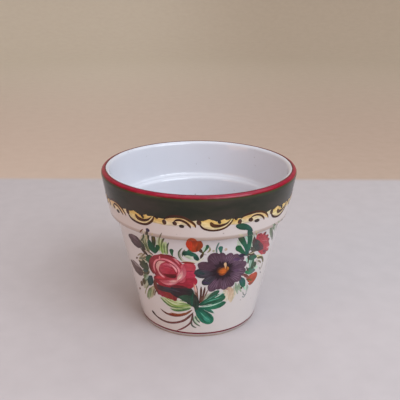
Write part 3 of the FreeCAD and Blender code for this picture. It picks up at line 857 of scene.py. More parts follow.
grass = Painting()
for width, colours, *places in (
    (1.0, "7c5440 6a4426 74502e 8c7050", (-33.4, 85.2), (-35.4, 83.2), (-37.4, 81.2), (-40.0, 78.2)),
    (1.2, "5c6440 434c36 4c5540", (-37.0, 77.8), (-39.0, 75.2), (-41.6, 72.4)),
    (1.3, "707a54 667048", (-38.8, 75.0), (-38.4, 70.6), (-35.0, 66.0)),
    (1.0, "6a7048 7c8058", (-36.8, 76.2), (-37.0, 71.6), (-34.6, 66.8)),
    (1.0, "70604e 6a6844 747c44 78984c", (-21.0, 85.6), (-23.4, 81.4), (-25.8, 77.0), (-26.4, 69.0)),
    (1.2, "564c3c 5c6040 6c8c44 6c9a48", (-21.2, 79.8), (-23.4, 77.0), (-24.5, 73.4), (-24.6, 67.6)),
    (1.2, "484c3c 505c40 647844", (-19.0, 76.8), (-20.4, 73.4), (-20.8, 67.6)),
    (1.0, "5c744c 70884c", (-22.4, 75.4), (-22.8, 71.6), (-22.6, 67.4)),
    (1.2, "6c5c44 786c50 8c8464", (-39.2, 63.4), (-42.0, 61.8), (-45.6, 57.6)),
    (1.1, "6c5c44 807458", (-38.4, 61.2), (-41.8, 59.6), (-44.6, 56.4)),
    (1.0, "8c7c64 988c74", (-42.4, 62.8), (-46.0, 60.8), (-49.4, 58.4)),
    (1.8, "606c3c 6c7c50 7c8a60 8c9470", (-40.0, 36.0), (-43.6, 32.6), (-46.2, 28.8), (-48.8, 24.4)),
    (1.2, "64784c 748458", (-40.6, 34.4), (-42.6, 30.4), (-43.8, 26.6)),
    (1.1, "8c9068 acac84", (-38.8, 35.0), (-40.6, 31.2), (-42.2, 27.6)),
    (1.0, "74644a 7c6c50", (-36.8, 36.0), (-38.8, 32.6), (-40.2, 29.8)),
    (1.0, "70584a 705c48", (-35.4, 35.4), (-37.4, 32.2), (-38.4, 29.6)),
    (1.2, "7c9068 8c9c78", (-42.6, 32.4), (-45.4, 28.0), (-47.2, 23.4)),
    (0.9, "808458 9c9c78", (-44.6, 35.8), (-48.0, 31.6), (-51.4, 26.4)),
    (1.2, "44544c 48584c 54604c 606c5c", (-4.6, 21.0), (-4.8, 16.4), (-3.0, 12.6), (1.8, 9.4)),
    (1.2, "444c40 4c5448 5c6458", (-6.0, 14.8), (-6.0, 11.0), (-4.4, 9.2), (-1.6, 8.2)),
    (1.2, "4c6454 5c7060", (-3.0, 18.8), (-1.2, 15.2), (1.4, 12.8)),
    (1.8, "54502f 4c482c 5c5834 7c7450", (46.0, 58.2), (50.0, 57.4), (54.0, 55.2), (57.4, 50.6)),
    (1.2, "686044 746c50", (48.0, 55.2), (51.0, 53.8), (53.4, 51.6)),
    (1.0, "7c7460 8c8474", (56.8, 50.6), (56.6, 47.8), (54.8, 45.4)),
    (0.9, "8c8484 948c8c", (52.8, 48.4), (53.6, 47.4), (54.6, 46.6)),
    (0.9, "848080 948f8c", (56.2, 43.4), (57.6, 42.4), (59.0, 41.4)),
    (1.1, "64786c 54706a 6c8478", (12.0, 69.4), (11.4, 73.2), (12.9, 77.8)),
    (1.5, "4c6448 586c4c 748468", (51.0, 84.0), (58.4, 78.2), (63.4, 73.6)),
    (1.3, "54644c 5c6c50", (54.6, 80.0), (58.0, 73.6), (60.8, 68.6)),
    (1.2, "44503c 4c5440", (59.6, 74.6), (62.8, 69.4), (65.4, 65.4)),
    (0.8, "808880 747c74 8c908c", (38.0, 33.4), (39.2, 31.0), (40.2, 30.0), (42.0, 29.6)),
    (0.8, "84908c 7c8480", (38.6, 29.4), (40.6, 28.0), (43.0, 31.0)),
    # Round the curl under the orange bud
    (1.0, "5c6448 48543c 4c5840 64745c", (-10.2, 73.8), (-12.9, 70.4), (-12.9, 66.8), (-11.0, 63.8)),
    (0.9, "54604c 5c6c54", (-8.6, 72.6), (-10.4, 70.2), (-10.6, 67.2)),
    # Between the leaves at the rose's left
    (1.2, "4c5838 58604a 6c7458", (-38.6, 57.4), (-43.0, 58.6), (-48.0, 56.8)),
    (1.2, "48543c 545c44", (-39.0, 54.6), (-42.4, 56.4), (-46.0, 58.2)),
    (1.1, "54583c 646848", (-39.4, 48.0), (-43.6, 45.8), (-47.6, 42.4)),
    (1.3, "4c5840 5c6848 70785c", (-42.4, 43.6), (-45.4, 40.0), (-48.4, 35.6)),
    (1.1, "5c6444 6c7454", (-40.4, 41.0), (-43.4, 36.8), (-46.6, 33.2)),
    (1.0, "4c5438 5c6444", (-36.6, 79.6), (-38.8, 75.8), (-39.6, 71.4)),
    # Lines on the striped leaf
    (1.3, "4c683c 54703c 5c7c48 6c8c50", (-32.2, 30.0), (-27.8, 26.8), (-22.4, 24.6), (-10.4, 25.2)),
    (1.2, "6c7c4c 78983c 84a048 6c8c48", (-28.0, 30.0), (-24.0, 27.4), (-18.6, 25.9), (-5.6, 27.8)),
    (1.8, "64844c 48703c 507848 5c7c4c", (-24.4, 22.6), (-20.0, 21.9), (-14.4, 22.6), (-6.0, 25.4)),
    (1.0, "708c54 54784c 446848", (-15.0, 31.0), (-10.0, 30.8), (-5.6, 28.8)),
    (0.9, "7c9458 5c8450", (-16.0, 28.6), (-11.0, 28.4), (-6.2, 28.6)),
    (0.9, "84984c a0b06c", (-27.6, 31.4), (-22.4, 29.4), (-17.0, 28.6)),
):
    grass.stroke(1.4, line, width, colours, *places, thin=0.3)
grass.fire("spray_grass", "grass",
           enamel("enamel_grass_green", whitening=0.3, pooling=0.0))

dark_leaves = Painting()
for level, kind, width, colours, *places in (
    # Above the rose on the left
    (2.0, comma, 2.0, "1f4c34 2c4c34 3c442c 48402c 3c3430", (-30.4, 66.0), (-32.8, 69.6), (-34.1, 74.6),
     (-33.6, 78.8), (-31.6, 82.2), (-30.2, 86.2)),
    (2.1, leaf, 5.2, "24482c 1f5038 2c5038", (-30.2, 66.0), (-32.8, 70.0), (-33.9, 76.2)),
    (2.6, dab, 2.9, "403448 3a3040", (-30.3, 84.0), (-30.1, 86.6)),
    (2.2, comma, 3.0, "1f4c30 24482f 34402c 5c4820", (-30.2, 66.4), (-31.0, 70.6), (-30.2, 74.6),
     (-29.3, 78.6)),
    (2.3, comma, 3.3, "1f4630 24502f", (-30.0, 66.2), (-28.6, 69.0), (-26.9, 73.4)),
    (2.1, leaf, 4.4, "24543c 1f4c38", (-30.6, 65.8), (-31.2, 69.2), (-31.0, 73.0)),
    (2.2, comma, 2.9, "3c6444 2c4c38", (-17.4, 66.4), (-17.8, 69.2), (-17.5, 72.2)),
    (2.0, leaf, 1.6, "54643c 5c6848", (-36.6, 66.4), (-37.2, 70.0), (-36.4, 73.0)),
    (2.05, leaf, 3.4, "2c4428 3c4424 5c5424", (-30.2, 71.0), (-30.0, 75.4), (-29.6, 80.6)),
    # Where bud and rose meet
    (2.4, leaf, 4.8, "4c5444 3c443a 483a2c", (-43.8, 73.4), (-41.4, 69.2), (-38.8, 65.2)),
    (2.3, leaf, 2.8, "4c3c30 44382c", (-43.2, 66.0), (-40.0, 64.4), (-36.8, 62.2)),
    (2.5, leaf, 5.0, "2c5434 2c5438 3c5c44", (-33.6, 63.8), (-37.0, 60.2), (-39.8, 56.0)),
    # Outside the rose on the left
    (2.1, leaf, 6.0, "4c4c40 3c4432 404a30", (-39.0, 51.2), (-42.0, 53.8), (-44.2, 57.0)),
    (2.2, leaf, 5.4, "3c442e 3c4832 444a34 4c4834 5c5040", (-39.4, 50.2), (-44.0, 52.4), (-49.2, 54.8)),
    (2.0, leaf, 3.4, "44483a 4c4c40", (-41.6, 50.6), (-45.8, 51.2), (-49.6, 51.8)),
    (2.0, leaf, 1.6, "6a5848 705c4c", (-52.4, 55.0), (-51.0, 56.2), (-49.4, 57.0)),
    (2.0, leaf, 2.8, "445850 3c4c44", (-46.8, 48.2), (-43.4, 48.4), (-39.8, 50.2)),
    (2.0, leaf, 2.9, "504c34 544c38", (-38.6, 49.4), (-42.0, 47.4), (-46.8, 45.4)),
    (2.3, leaf, 5.6, "38383e 2a4444 28443f 34443a", (-37.2, 46.6), (-39.4, 43.0), (-42.4, 36.8)),
    (2.1, leaf, 1.8, "5c7050 687c54", (-42.6, 46.8), (-45.0, 43.8), (-47.2, 40.6)),
    (2.0, leaf, 3.6, "545030 4c4024 544a30", (-46.8, 41.2), (-48.4, 38.4), (-49.8, 35.2)),
    (2.0, leaf, 3.2, "645440 5c4c38", (-51.2, 37.4), (-53.0, 34.6), (-54.6, 32.0)),
    (2.0, leaf, 1.6, "6a4c40 745848", (-57.8, 29.4), (-59.4, 28.0), (-61.0, 26.6)),
    # Under and beside the upper orange bud
    (2.2, comma, 4.3, "1f4438 1f5a48 245444 20382f", (0.6, 65.2), (-3.0, 69.0), (-10.6, 69.7)),
    (2.1, leaf, 2.6, "2c5c44 34684c", (-7.4, 70.4), (-5.2, 72.2), (-3.4, 71.2)),
    (2.4, leaf, 3.0, "1f4c40 1c4038", (-3.4, 67.8), (-1.4, 66.2), (-0.2, 64.4)),
    (2.2, comma, 2.7, "5c5428 3c5c38 1f5444", (2.0, 69.6), (4.0, 72.6), (6.0, 76.4)),
    (2.0, leaf, 1.1, "7c7840 8c8454", (5.4, 70.4), (7.2, 72.4), (6.8, 75.2)),
    (2.3, leaf, 2.3, "40342c 4c3c30", (0.4, 74.4), (1.0, 72.6), (2.2, 70.4)),
    (2.3, leaf, 2.0, "4c4828 443428 3c3028", (3.4, 70.6), (2.2, 68.6), (1.2, 66.0)),
    (2.1, comma, 3.1, "34584c 3c7060 34685a", (14.8, 68.6), (14.4, 71.4), (13.8, 74.8)),
    # Above the daisy on the right
    (2.4, line, 3.7, "2c4c4c 24604a 1f5840 24503c 2c4f44", (34.6, 63.6), (35.0, 69.6), (35.0, 75.4),
     (33.4, 79.6), (30.6, 83.2), (29.0, 86.4)),
    (2.6, bud, 4.6, "2c4c48 245044 1f4a38 24483c", (32.4, 84.2), (28.0, 88.0), (20.8, 90.6)),
    (2.2, comma, 4.2, "24584c 20604a 28583f 4c4a30", (34.0, 64.6), (32.4, 70.8), (29.6, 75.6), (25.9, 80.3)),
    (2.3, comma, 4.3, "244f40 1f5c3c 245838", (34.4, 63.6), (30.2, 67.8), (25.0, 73.0)),
    (2.2, leaf, 3.6, "2c4848 2c5048", (31.2, 66.8), (34.0, 65.4), (36.6, 63.2)),
    # The carnation's calyx
    (3.4, leaf, 4.0, "5c4038 4c3c3c 3c4440 3c4440", (38.4, 77.0), (39.6, 72.0), (43.4, 65.8)),
    (3.5, leaf, 6.6, "4c3a3c 3a4440 3c3c3c 54383c", (39.8, 74.6), (43.4, 68.8), (49.8, 63.4)),
    (3.45, leaf, 4.0, "5c383c 583a40", (43.6, 71.0), (47.6, 66.6), (52.0, 63.0)),
    (3.3, leaf, 3.0, "54504a 44483c", (37.2, 69.6), (39.4, 67.0), (43.0, 64.6)),
    # Right of the daisy
    (2.3, leaf, 2.6, "4c4034 54483c", (36.6, 63.6), (39.6, 63.2), (42.6, 62.0)),
    (2.4, leaf, 4.6, "345848 38584a 2c6048 34584a", (35.4, 61.8), (40.4, 60.6), (45.8, 59.0)),
    (2.3, comma, 3.6, "34604c 3c5a44 44503c", (42.4, 60.0), (42.4, 55.6), (43.0, 50.6)),
    (2.2, leaf, 2.9, "4c5444 3c4c38 3c5040", (44.0, 56.0), (45.2, 53.8), (46.4, 50.8)),
    (2.5, leaf, 4.6, "2c6c48 2c7c50 50786a 4c5c58", (35.6, 50.4), (41.2, 49.0), (47.6, 48.0)),
    (2.4, leaf, 2.8, "30684c 4c6c60", (38.0, 52.4), (41.6, 51.0), (45.6, 50.4)),
    (2.3, leaf, 4.8, "2c4448 345a5a 20604c 1a5a3c", (32.2, 47.2), (35.4, 42.2), (38.8, 36.6)),
    (2.2, leaf, 1.7, "4c4c34 50503c", (34.8, 38.4), (36.4, 36.4)),
    (3.2, leaf, 2.2, "5c5024 645824", (39.0, 43.0), (42.6, 42.2), (46.2, 39.6)),
    # From the tie
    (2.1, bud, 3.8, "3c5444 2c5440", (6.4, 33.0), (11.0, 36.4), (16.0, 39.4)),
    (2.2, bud, 7.4, "1f4c3c 245c44 2c6048 285a40", (0.6, 28.0), (9.4, 31.6), (21.8, 33.2)),
    (2.3, leaf, 2.6, "2c6450 34705a", (11.0, 34.0), (16.0, 35.4), (21.2, 35.8)),
    (2.4, bud, 5.4, "24604c 286c50 28684c 245440", (0.6, 26.0), (11.0, 26.2), (22.8, 28.4)),
    (2.4, leaf, 2.4, "30705c 286450 48685c", (3.0, 25.4), (8.6, 23.4), (13.0, 20.4)),
    (2.5, bud, 9.4, "1f4c40 246450 287058 2c7458", (-2.6, 27.0), (3.6, 19.6), (11.8, 11.8)),
    (2.7, leaf, 4.2, "286c54 3c8c78 34846a", (4.0, 19.0), (7.0, 15.8), (10.0, 13.2)),
    (2.8, leaf, 1.6, "1c4c3c 1f5444", (2.0, 24.8), (8.0, 20.4), (12.6, 15.0)),
    (2.8, leaf, 1.2, "205848 1f5040", (0.4, 20.6), (3.2, 16.4), (6.8, 12.6)),
    (2.8, leaf, 0.9, "54a084 5ca88c", (1.6, 22.0), (5.6, 17.6), (9.8, 14.6)),
    (2.6, leaf, 1.0, "387c64 58a488 448c70", (3.6, 29.6), (10.6, 32.0), (19.4, 33.6)),
    (2.6, leaf, 0.8, "386c58 509880", (4.0, 30.6), (9.0, 33.6), (14.0, 36.4)),
    (2.6, leaf, 0.9, "183c30 1c4838", (3.0, 28.2), (10.0, 30.2), (18.6, 31.6)),
    (2.6, leaf, 0.9, "3c846c 54a084 448870", (4.6, 26.4), (12.0, 26.6), (20.0, 28.0)),
    (5.4, leaf, 7.2, "30503c 344c3c 343e34 2c3830", (-16.0, 33.8), (-7.0, 32.8), (-0.6, 25.4)),
    (5.6, leaf, 5.0, "38342f 2f3831 2c4438", (-3.6, 38.0), (-2.2, 30.4), (-1.6, 23.6)),
    (5.5, leaf, 3.2, "244838 2c5040", (-3.4, 39.0), (-4.6, 34.0), (-5.4, 27.0)),
):
    dark_leaves.stroke(level, kind, width, colours, *places, thin=0.25)
dark_leaves.fire("spray_dark_leaves", "dark_leaves",
                 enamel("enamel_leaf_green", whitening=0.12, pooling=0.15))

stems = Painting()
for level, width, colours, *places in (
    (1.6, 1.4, "5c3428 6a4434 4c3428", (-1.6, 45.0), (-1.2, 38.0), (-0.2, 29.4)),
    (1.7, 1.4, "54302a 4c2c24 4c2c20", (1.9, 44.0), (1.9, 38.0), (1.0, 29.4)),
    (1.8, 1.4, "4c302c 54342a 5c3c2c", (4.8, 43.6), (4.0, 38.0), (2.0, 30.4)),
    (1.6, 1.0, "7c6054 6c5044", (7.0, 41.0), (5.4, 36.6), (2.6, 30.6)),
    (1.6, 0.9, "8c7060 7c5c4c", (-2.8, 41.0), (-2.0, 36.0), (-0.8, 31.0)),
    (2.6, 1.2, "4c3c34 44342c", (-44.0, 66.6), (-40.4, 64.6), (-36.0, 61.8)),
    (2.7, 1.2, "b8aa98 c0b0a0", (-39.4, 66.2), (-36.0, 65.0), (-32.8, 63.2)),
    (2.6, 1.0, "54443c 4c3430", (-37.8, 66.6), (-34.8, 65.6), (-32.4, 64.4)),
    (2.9, 1.2, "3c3430 44402f 4c4434", (35.6, 63.6), (36.9, 60.6), (37.3, 56.4)),
    (2.9, 1.0, "4c3c34 54443c", (36.7, 54.2), (37.8, 51.8), (39.6, 49.8)),
    (3.2, 1.2, "5c4c3c 4c3c34", (34.6, 63.6), (38.8, 65.0), (43.4, 66.2)),
    (3.2, 1.0, "5c5444 4c443c", (35.4, 66.6), (38.0, 67.8), (41.6, 69.4)),
    (3.1, 1.0, "a89c78 b0a890", (36.2, 64.8), (39.4, 64.2), (42.0, 64.6)),
    (2.6, 1.8, "5c3840 70403c 84483c", (31.6, 49.4), (36.6, 47.6), (41.2, 44.4)),
    (2.4, 0.9, "8c5048 94584c", (36.0, 46.6), (38.6, 45.2), (40.6, 42.4)),
):
    stems.stroke(level, line, width, colours, *places, thin=0.3)
stems.fire("spray_stems", "stems",
           enamel("enamel_stem_brown", whitening=0.2, pooling=0.0))

swirls = Painting()
for level, kind, width, colours, *places in (
    (1.8, line, 1.7, "4c302c 6a3a30 7c3828 7c4834 704c34", (-34.6, 19.9), (-30.0, 17.7), (-24.6, 16.9),
     (-18.6, 17.3), (-11.6, 19.5), (-5.0, 24.0)),
    (1.9, leaf, 2.0, "7c3424 84402c", (-27.0, 17.8), (-22.6, 17.6), (-16.6, 18.4)),
    (1.8, line, 1.7, "443028 5c3834 6c4240 6c4440 604038", (-46.0, 14.6), (-42.0, 11.7), (-36.0, 10.0),
     (-28.0, 9.6), (-19.0, 11.4), (-11.0, 15.2), (-4.0, 22.0)),
    (1.9, comma, 2.3, "4c342e 40302a", (-38.0, 10.2), (-42.4, 11.8), (-46.2, 14.4)),
    (1.8, line, 1.2, "7c3038 6c3c3c 644440 544038", (-20.8, 3.7), (-13.6, 7.2), (-8.0, 11.4), (-5.9, 15.0),
     (-4.6, 21.4)),
    (1.7, line, 0.9, "94502c 8c5434", (-24.6, 18.9), (-17.0, 18.9), (-9.4, 21.2)),
):
    swirls.stroke(level, kind, width, colours, *places, thin=0.2)
swirls.fire("spray_swirls", "swirls",
            enamel("enamel_swirl_brown", whitening=0.2, pooling=0.0))


# Buds and carnation
# Two orange buds, two plum-coloured ones at the left, and a red carnation at the right
# whose ragged petals fan out of a dark calyx.

orange_buds = Painting()
for level, kind, width, colours, *places in (
    (3.0, dab, 10.0, "a04018 a84420 ac4420 a04020", (-3.2, 81.6), (-2.8, 76.4), (-2.8, 71.0)),
    (3.1, dab, 6.6, "984420 a04018 a84420", (-4.8, 83.4), (-4.0, 81.6), (-3.4, 79.6)),
    (3.3, leaf, 4.4, "b43c18 c8401c bc3c1a", (-5.0, 80.4), (-5.9, 76.4), (-4.4, 72.4)),
    (3.3, leaf, 2.6, "a84018 a03c18", (-3.8, 82.6), (-2.8, 79.0), (-2.4, 75.0)),
    (3.3, leaf, 3.2, "94401e 984220", (-0.4, 72.8), (1.2, 76.0), (0.2, 79.6)),
    (3.4, leaf, 1.8, "703018 8c3c1c 94441f", (-1.4, 71.6), (-0.8, 74.0), (-0.2, 77.0)),
    (3.0, bud, 9.0, "904a34 a8482c a8442c 944220", (39.8, 43.8), (45.0, 42.4), (52.2, 41.2)),
    (3.4, leaf, 3.2, "a84e38 b84c34 a8442c", (41.4, 45.6), (46.0, 44.4), (50.8, 42.6)),
    (3.1, leaf, 3.0, "90463c 8c4834 945038", (42.4, 38.6), (46.2, 38.0), (50.0, 39.2)),
):
    orange_buds.stroke(level, kind, width, colours, *places, thin=0.2)
orange_buds.fire("spray_orange_buds", "orange_buds",
                 enamel("enamel_orange", whitening=0.1, pooling=0.15))

purple_buds = Painting()
for level, kind, width, colours, *places in (
    (3.0, bud, 9.6, "4a3634 553e44 544044 4c3e3c", (-55.6, 71.8), (-49.6, 71.0), (-41.6, 69.0)),
    (3.2, leaf, 3.0, "5c464c 705860 60505a", (-53.0, 73.6), (-48.6, 73.4), (-44.2, 71.2)),
    (3.2, leaf, 2.2, "403034 443438", (-53.6, 68.6), (-48.6, 67.0), (-43.4, 66.6)),
    (3.0, bud, 9.0, "54423f 5a4442 5a4644 54443e", (-64.8, 49.4), (-57.2, 45.8), (-46.6, 46.6)),
    (3.2, leaf, 3.0, "74686c 8a7c7e 847876", (-60.0, 51.2), (-55.0, 50.0), (-49.0, 49.2)),
    (3.2, leaf, 2.2, "4c3c38 54423c", (-60.0, 42.6), (-54.4, 43.0), (-48.4, 45.0)),
):
    purple_buds.stroke(level, kind, width, colours, *places, thin=0.25)
purple_buds.fire("spray_purple_buds", "purple_buds",
                 enamel("enamel_plum", whitening=0.15, pooling=0.15))

carnation = Painting()
fan_angle, fan_height = 43.6, 69.6
for index, (angle, height) in enumerate((
    (41.6, 78.2), (44.6, 77.8), (47.0, 75.6), (50.0, 76.8), (52.0, 73.4), (54.6, 72.8), (56.2, 69.6),
    (58.2, 68.0), (59.2, 64.8), (61.6, 62.2), (61.8, 58.8), (57.8, 57.8), (53.8, 58.8), (50.4, 61.4),
)):
    halfway = (fan_angle + (angle - fan_angle) * 0.5, fan_height + (height - fan_height) * 0.55)
    tip = ("b04048", "a03840", "902c38")[index % 3]
    carnation.stroke(2.6 + 0.05 * (index * 5 % 7), bud, 4.2, "602c36 a0383e b03c46 " + tip,
                     (43.4, 69.0), halfway, (angle, height), thin=0.25)
for level, width, colours, *places in (
    (3.2, 4.0, "90383c a84048 a04448", (42.6, 75.4), (48.0, 71.4), (55.0, 67.0)),
    (3.3, 2.0, "6c2c30 5c2828", (48.0, 75.2), (49.2, 76.0), (50.4, 76.8)),
    (3.3, 2.0, "843038 6a2c30", (51.6, 72.2), (53.4, 72.2), (54.8, 72.8)),
    (3.3, 1.8, "7c3034 742c30", (55.0, 69.2), (56.8, 68.8), (58.2, 68.0)),
    (3.3, 1.8, "843438 742c30", (41.8, 76.4), (43.2, 77.2), (44.4, 77.6)),
    (3.3, 2.6, "843440 742f3c", (51.4, 62.0), (54.6, 60.4), (58.4, 59.2)),
    (3.4, 0.9, "c46c74 c06068", (47.0, 71.2), (51.0, 70.2), (55.0, 68.2)),
    (3.4, 1.6, "bc6870 dca4a8", (56.6, 62.6), (59.4, 61.8), (62.4, 61.6)),
):
    carnation.stroke(level, leaf, width, colours, *places, thin=0.25)
carnation.fire("spray_carnation", "carnation",
               enamel("enamel_carnation", whitening=0.15, pooling=0.2))


# Rose
# A round red head with a darker heart, two side petals at the right, a dark under side
# with a red fringe, and pale pink lines drawn round the heart.

rose_petals = Painting()
for level, kind, width, colours, *places in (
    # Fringe
    (2.8, block, 6.8, "843038 8c3438 8a3834 7c3030", (-35.2, 36.4), (-27.6, 34.6), (-16.4, 33.8)),
    (2.9, comma, 3.6, "8a3038 8c2c3c", (-33.6, 36.0), (-33.2, 34.2), (-32.2, 32.4)),
    (2.9, comma, 3.6, "8c3440 943440", (-30.4, 35.4), (-29.8, 33.4), (-28.8, 31.6)),
    (2.9, comma, 3.4, "8a3838 8c3c34", (-26.6, 34.8), (-26.0, 33.4), (-25.0, 32.0)),
    (2.9, comma, 3.6, "7f3434 883834", (-23.4, 34.6), (-22.6, 33.0), (-21.4, 31.0)),
    (2.9, comma, 3.2, "743030 7c302e", (-20.0, 34.0), (-19.4, 32.0), (-18.2, 30.2)),
    # Head
    (3.0, dab, 21.8, "7c3034 983842 a03844 a03848", (-37.4, 55.0), (-24.0, 55.6), (-11.0, 55.2)),
    (3.0, block, 9.0, "7c2c30 a0343e 9a303c 902c38", (-35.6, 45.4), (-21.0, 44.8), (-2.6, 46.4)),
    (3.2, leaf, 5.4, "843034 80302f 8c323a", (-34.2, 49.0), (-34.8, 57.0), (-29.2, 63.6)),
    (3.3, leaf, 5.2, "8c343a 8a3038 8c3038 94343c", (-32.4, 61.6), (-23.0, 64.6), (-12.8, 61.8)),
    (3.4, leaf, 3.4, "98343c a03840", (-15.0, 64.6), (-11.4, 58.4), (-11.4, 50.6)),
    # Side petals
    (3.5, bud, 8.6, "a83a48 b44450 ac3e4a", (-13.4, 58.4), (-8.0, 58.8), (-1.8, 59.4)),
    (3.6, bud, 8.4, "a03446 b4384e b43650", (-12.8, 53.0), (-7.0, 53.6), (-2.0, 54.0)),
    (3.5, bud, 8.4, "942c3a a43040 a42e40", (-12.4, 47.6), (-7.0, 47.8), (-1.0, 49.4)),
    (3.4, leaf, 4.6, "942c38 982c38 9c3040", (-12.4, 44.0), (-7.6, 43.8), (-3.0, 44.4)),
    (3.7, leaf, 1.6, "843434 8a3430 80302c", (-12.0, 62.6), (-7.0, 62.8), (-2.2, 62.4)),
    (3.8, leaf, 1.0, "902c40 98304a", (-9.6, 56.2), (-6.4, 56.0), (-2.8, 56.4)),
    (3.8, leaf, 1.0, "842834 902c38", (-9.6, 49.6), (-6.4, 49.4), (-2.0, 50.2)),
    # Under the heart, and the heart
    (3.6, leaf, 3.4, "a8323c b43c44 a83c44", (-34.2, 45.6), (-29.0, 47.4), (-22.6, 47.6)),
    (3.6, leaf, 3.0, "982e3a 942c38 8c2a34", (-33.6, 42.8), (-24.0, 42.0), (-14.0, 43.8)),
    (3.9, dab, 11.6, "ac4654 a83444 982c38", (-28.6, 55.2), (-21.8, 55.0), (-15.2, 54.2)),
    (4.0, leaf, 2.4, "b85466 b84c5e", (-25.4, 58.4), (-22.4, 59.2), (-18.6, 58.0)),
    (4.0, leaf, 1.6, "b84c5c b04454", (-24.6, 56.6), (-21.6, 57.2), (-18.6, 55.8)),
):
    rose_petals.stroke(level, kind, width, colours, *places, thin=0.15)
rose_petals.fire("spray_rose_petals", "rose_petals",
                 enamel("enamel_rose", whitening=0.12, pooling=0.1))

rose_shading = Painting()
for level, kind, width, colours, *places in (
    # The dark under side
    (4.6, block, 4.6, "5c3434 443434 363a3e 38343a", (-36.4, 39.0), (-27.0, 38.4), (-17.0, 38.9)),
    (4.7, block, 6.4, "38363a 3c2e32 382e30 303a34", (-23.0, 38.6), (-13.0, 39.2), (-3.4, 39.0)),
    (4.6, leaf, 6.0, "3a3438 3a2e30 30342f", (-22.4, 36.6), (-14.0, 35.6), (-4.4, 36.0)),
    (4.8, leaf, 2.0, "44404a 443c44", (-27.6, 39.6), (-20.0, 39.4), (-13.0, 38.2)),
    (4.7, leaf, 2.4, "6c2a30 542a2e", (-22.0, 41.8), (-15.0, 42.8), (-8.0, 42.6)),
    # Dark edges of the head
    (4.6, leaf, 1.8, "64342c 6a3430 743030", (-34.8, 48.6), (-37.2, 53.0), (-36.4, 59.6)),
    (4.5, leaf, 3.2, "743c34 6a3a30 6c3830", (-34.6, 45.4), (-35.2, 39.0), (-34.0, 32.8)),
    (4.6, leaf, 1.3, "7c2c34 742a30", (-25.0, 66.4), (-20.0, 66.6), (-14.6, 65.2)),
    (4.6, leaf, 1.2, "84382a 7c3028", (-27.2, 66.0), (-25.2, 66.4), (-23.4, 66.2)),
    # In and round the heart
    (4.6, leaf, 3.2, "842430 641820 5c1216 701c28", (-26.6, 51.2), (-20.4, 50.4), (-15.6, 52.8)),
    (4.7, leaf, 2.4, "5c1418 500e12 5c1418", (-21.2, 50.4), (-18.2, 50.2), (-15.8, 51.4)),
    (4.6, leaf, 1.6, "8c2834 842834", (-16.6, 52.6), (-16.2, 55.8), (-18.6, 58.8)),
    (4.9, line, 0.8, "8c3038 7c2a30 8a3038", (-31.8, 51.4), (-32.2, 55.6), (-29.6, 60.2), (-25.4, 62.0)),
    (4.9, line, 0.8, "8a3038 842c34 8a3038", (-22.0, 61.6), (-18.0, 60.2), (-15.2, 57.4), (-14.5, 54.0)),
):
    rose_shading.stroke(level, kind, width, colours, *places, thin=0.1)
rose_shading.fire("spray_rose_shading", "rose_shading",
                  enamel("enamel_rose_shade", whitening=0.1, pooling=0.0))

rose_highlights = Painting()
for level, kind, width, colours, *places in (
    # Outer line round the heart
    (5.0, line, 1.5, "c86c78 d47c88 dc8890 e08c94 d87c88", (-27.8, 62.2), (-24.0, 63.2), (-20.0, 62.5),
     (-16.2, 60.2), (-13.9, 57.0), (-13.4, 54.8), (-14.6, 52.2)),
    (5.0, line, 1.4, "c46c74 d07c84 d4848c cc7880", (-32.8, 50.4), (-33.4, 54.0), (-32.4, 57.8),
     (-30.2, 60.8), (-27.4, 62.4)),
    (5.1, leaf, 1.1, "d4888c c8747c", (-27.0, 65.2), (-27.2, 63.6), (-28.0, 61.4)),
    (5.0, leaf, 1.3, "bc5c68 d07c84 cc7480", (-17.6, 65.4), (-15.2, 63.6), (-12.8, 60.8)),
    # Inner line
    (5.1, line, 1.6, "c8646e e08c94 e09ca0 c86c78", (-20.8, 60.5), (-17.9, 58.9), (-15.8, 56.4),
     (-15.3, 54.0)),
    (5.1, leaf, 2.6, "d08c8c d8a49c d8a8a0 d09490", (-29.6, 51.6), (-30.2, 56.0), (-27.4, 60.0),
     (-23.2, 61.3)),
    (5.2, line, 1.5, "d8888c e0949a c46872", (-29.9, 52.2), (-28.2, 49.8), (-25.2, 48.2)),
    (5.2, leaf, 1.0, "c86878 c46474", (-23.0, 60.0), (-20.6, 59.4), (-19.2, 57.6)),
    # Light on the folds below
    (5.0, leaf, 4.4, "a83c46 b85662 c06a74 b45660", (-31.0, 45.0), (-25.4, 44.2), (-19.4, 45.6),
     (-13.0, 48.8)),
    (5.1, leaf, 1.8, "c05c66 d07c84 d8949a d08c90", (-29.4, 44.3), (-25.2, 43.4), (-20.4, 44.4),
     (-15.8, 46.0)),
    (5.2, leaf, 1.8, "c88488 d8a8a0 c88484", (-22.4, 45.4), (-18.6, 46.5), (-14.6, 47.6)),
    (5.15, leaf, 5.2, "b04654 b8606c c47880 b85c66", (-9.8, 60.0), (-11.4, 54.0), (-15.0, 46.6)),
    (5.25, leaf, 3.2, "b86470 cc8c8c e0bcb0 cc8c8c", (-10.8, 56.8), (-12.6, 52.0), (-15.8, 47.6)),
    (5.1, leaf, 2.2, "b84c5c b8505c a83c4a", (-13.8, 46.0), (-11.0, 48.0), (-9.4, 51.4)),
    (5.0, leaf, 1.4, "c0606c c05c68", (-12.0, 58.0), (-11.0, 60.0), (-10.0, 61.6)),
    (5.0, leaf, 1.0, "d08878 c07868", (-3.4, 46.4), (-2.8, 43.6), (-2.4, 40.2)),
    (5.0, leaf, 1.2, "d8b8ac c8a098", (-2.2, 44.6), (-2.0, 41.4), (-1.6, 38.6)),
):
    rose_highlights.stroke(level, kind, width, colours, *places, thin=0.1)
rose_highlights.fire("spray_rose_highlights", "rose_highlights",
                     enamel("enamel_pink", whitening=0.3, pooling=0.0))


# Daisy
# Rounded purple petals laid round an orange heart, each streaked from the heart outwards,
# the left ones darker, with a cream fleck on the heart.

heart_angle, heart_height = 17.0, 55.4
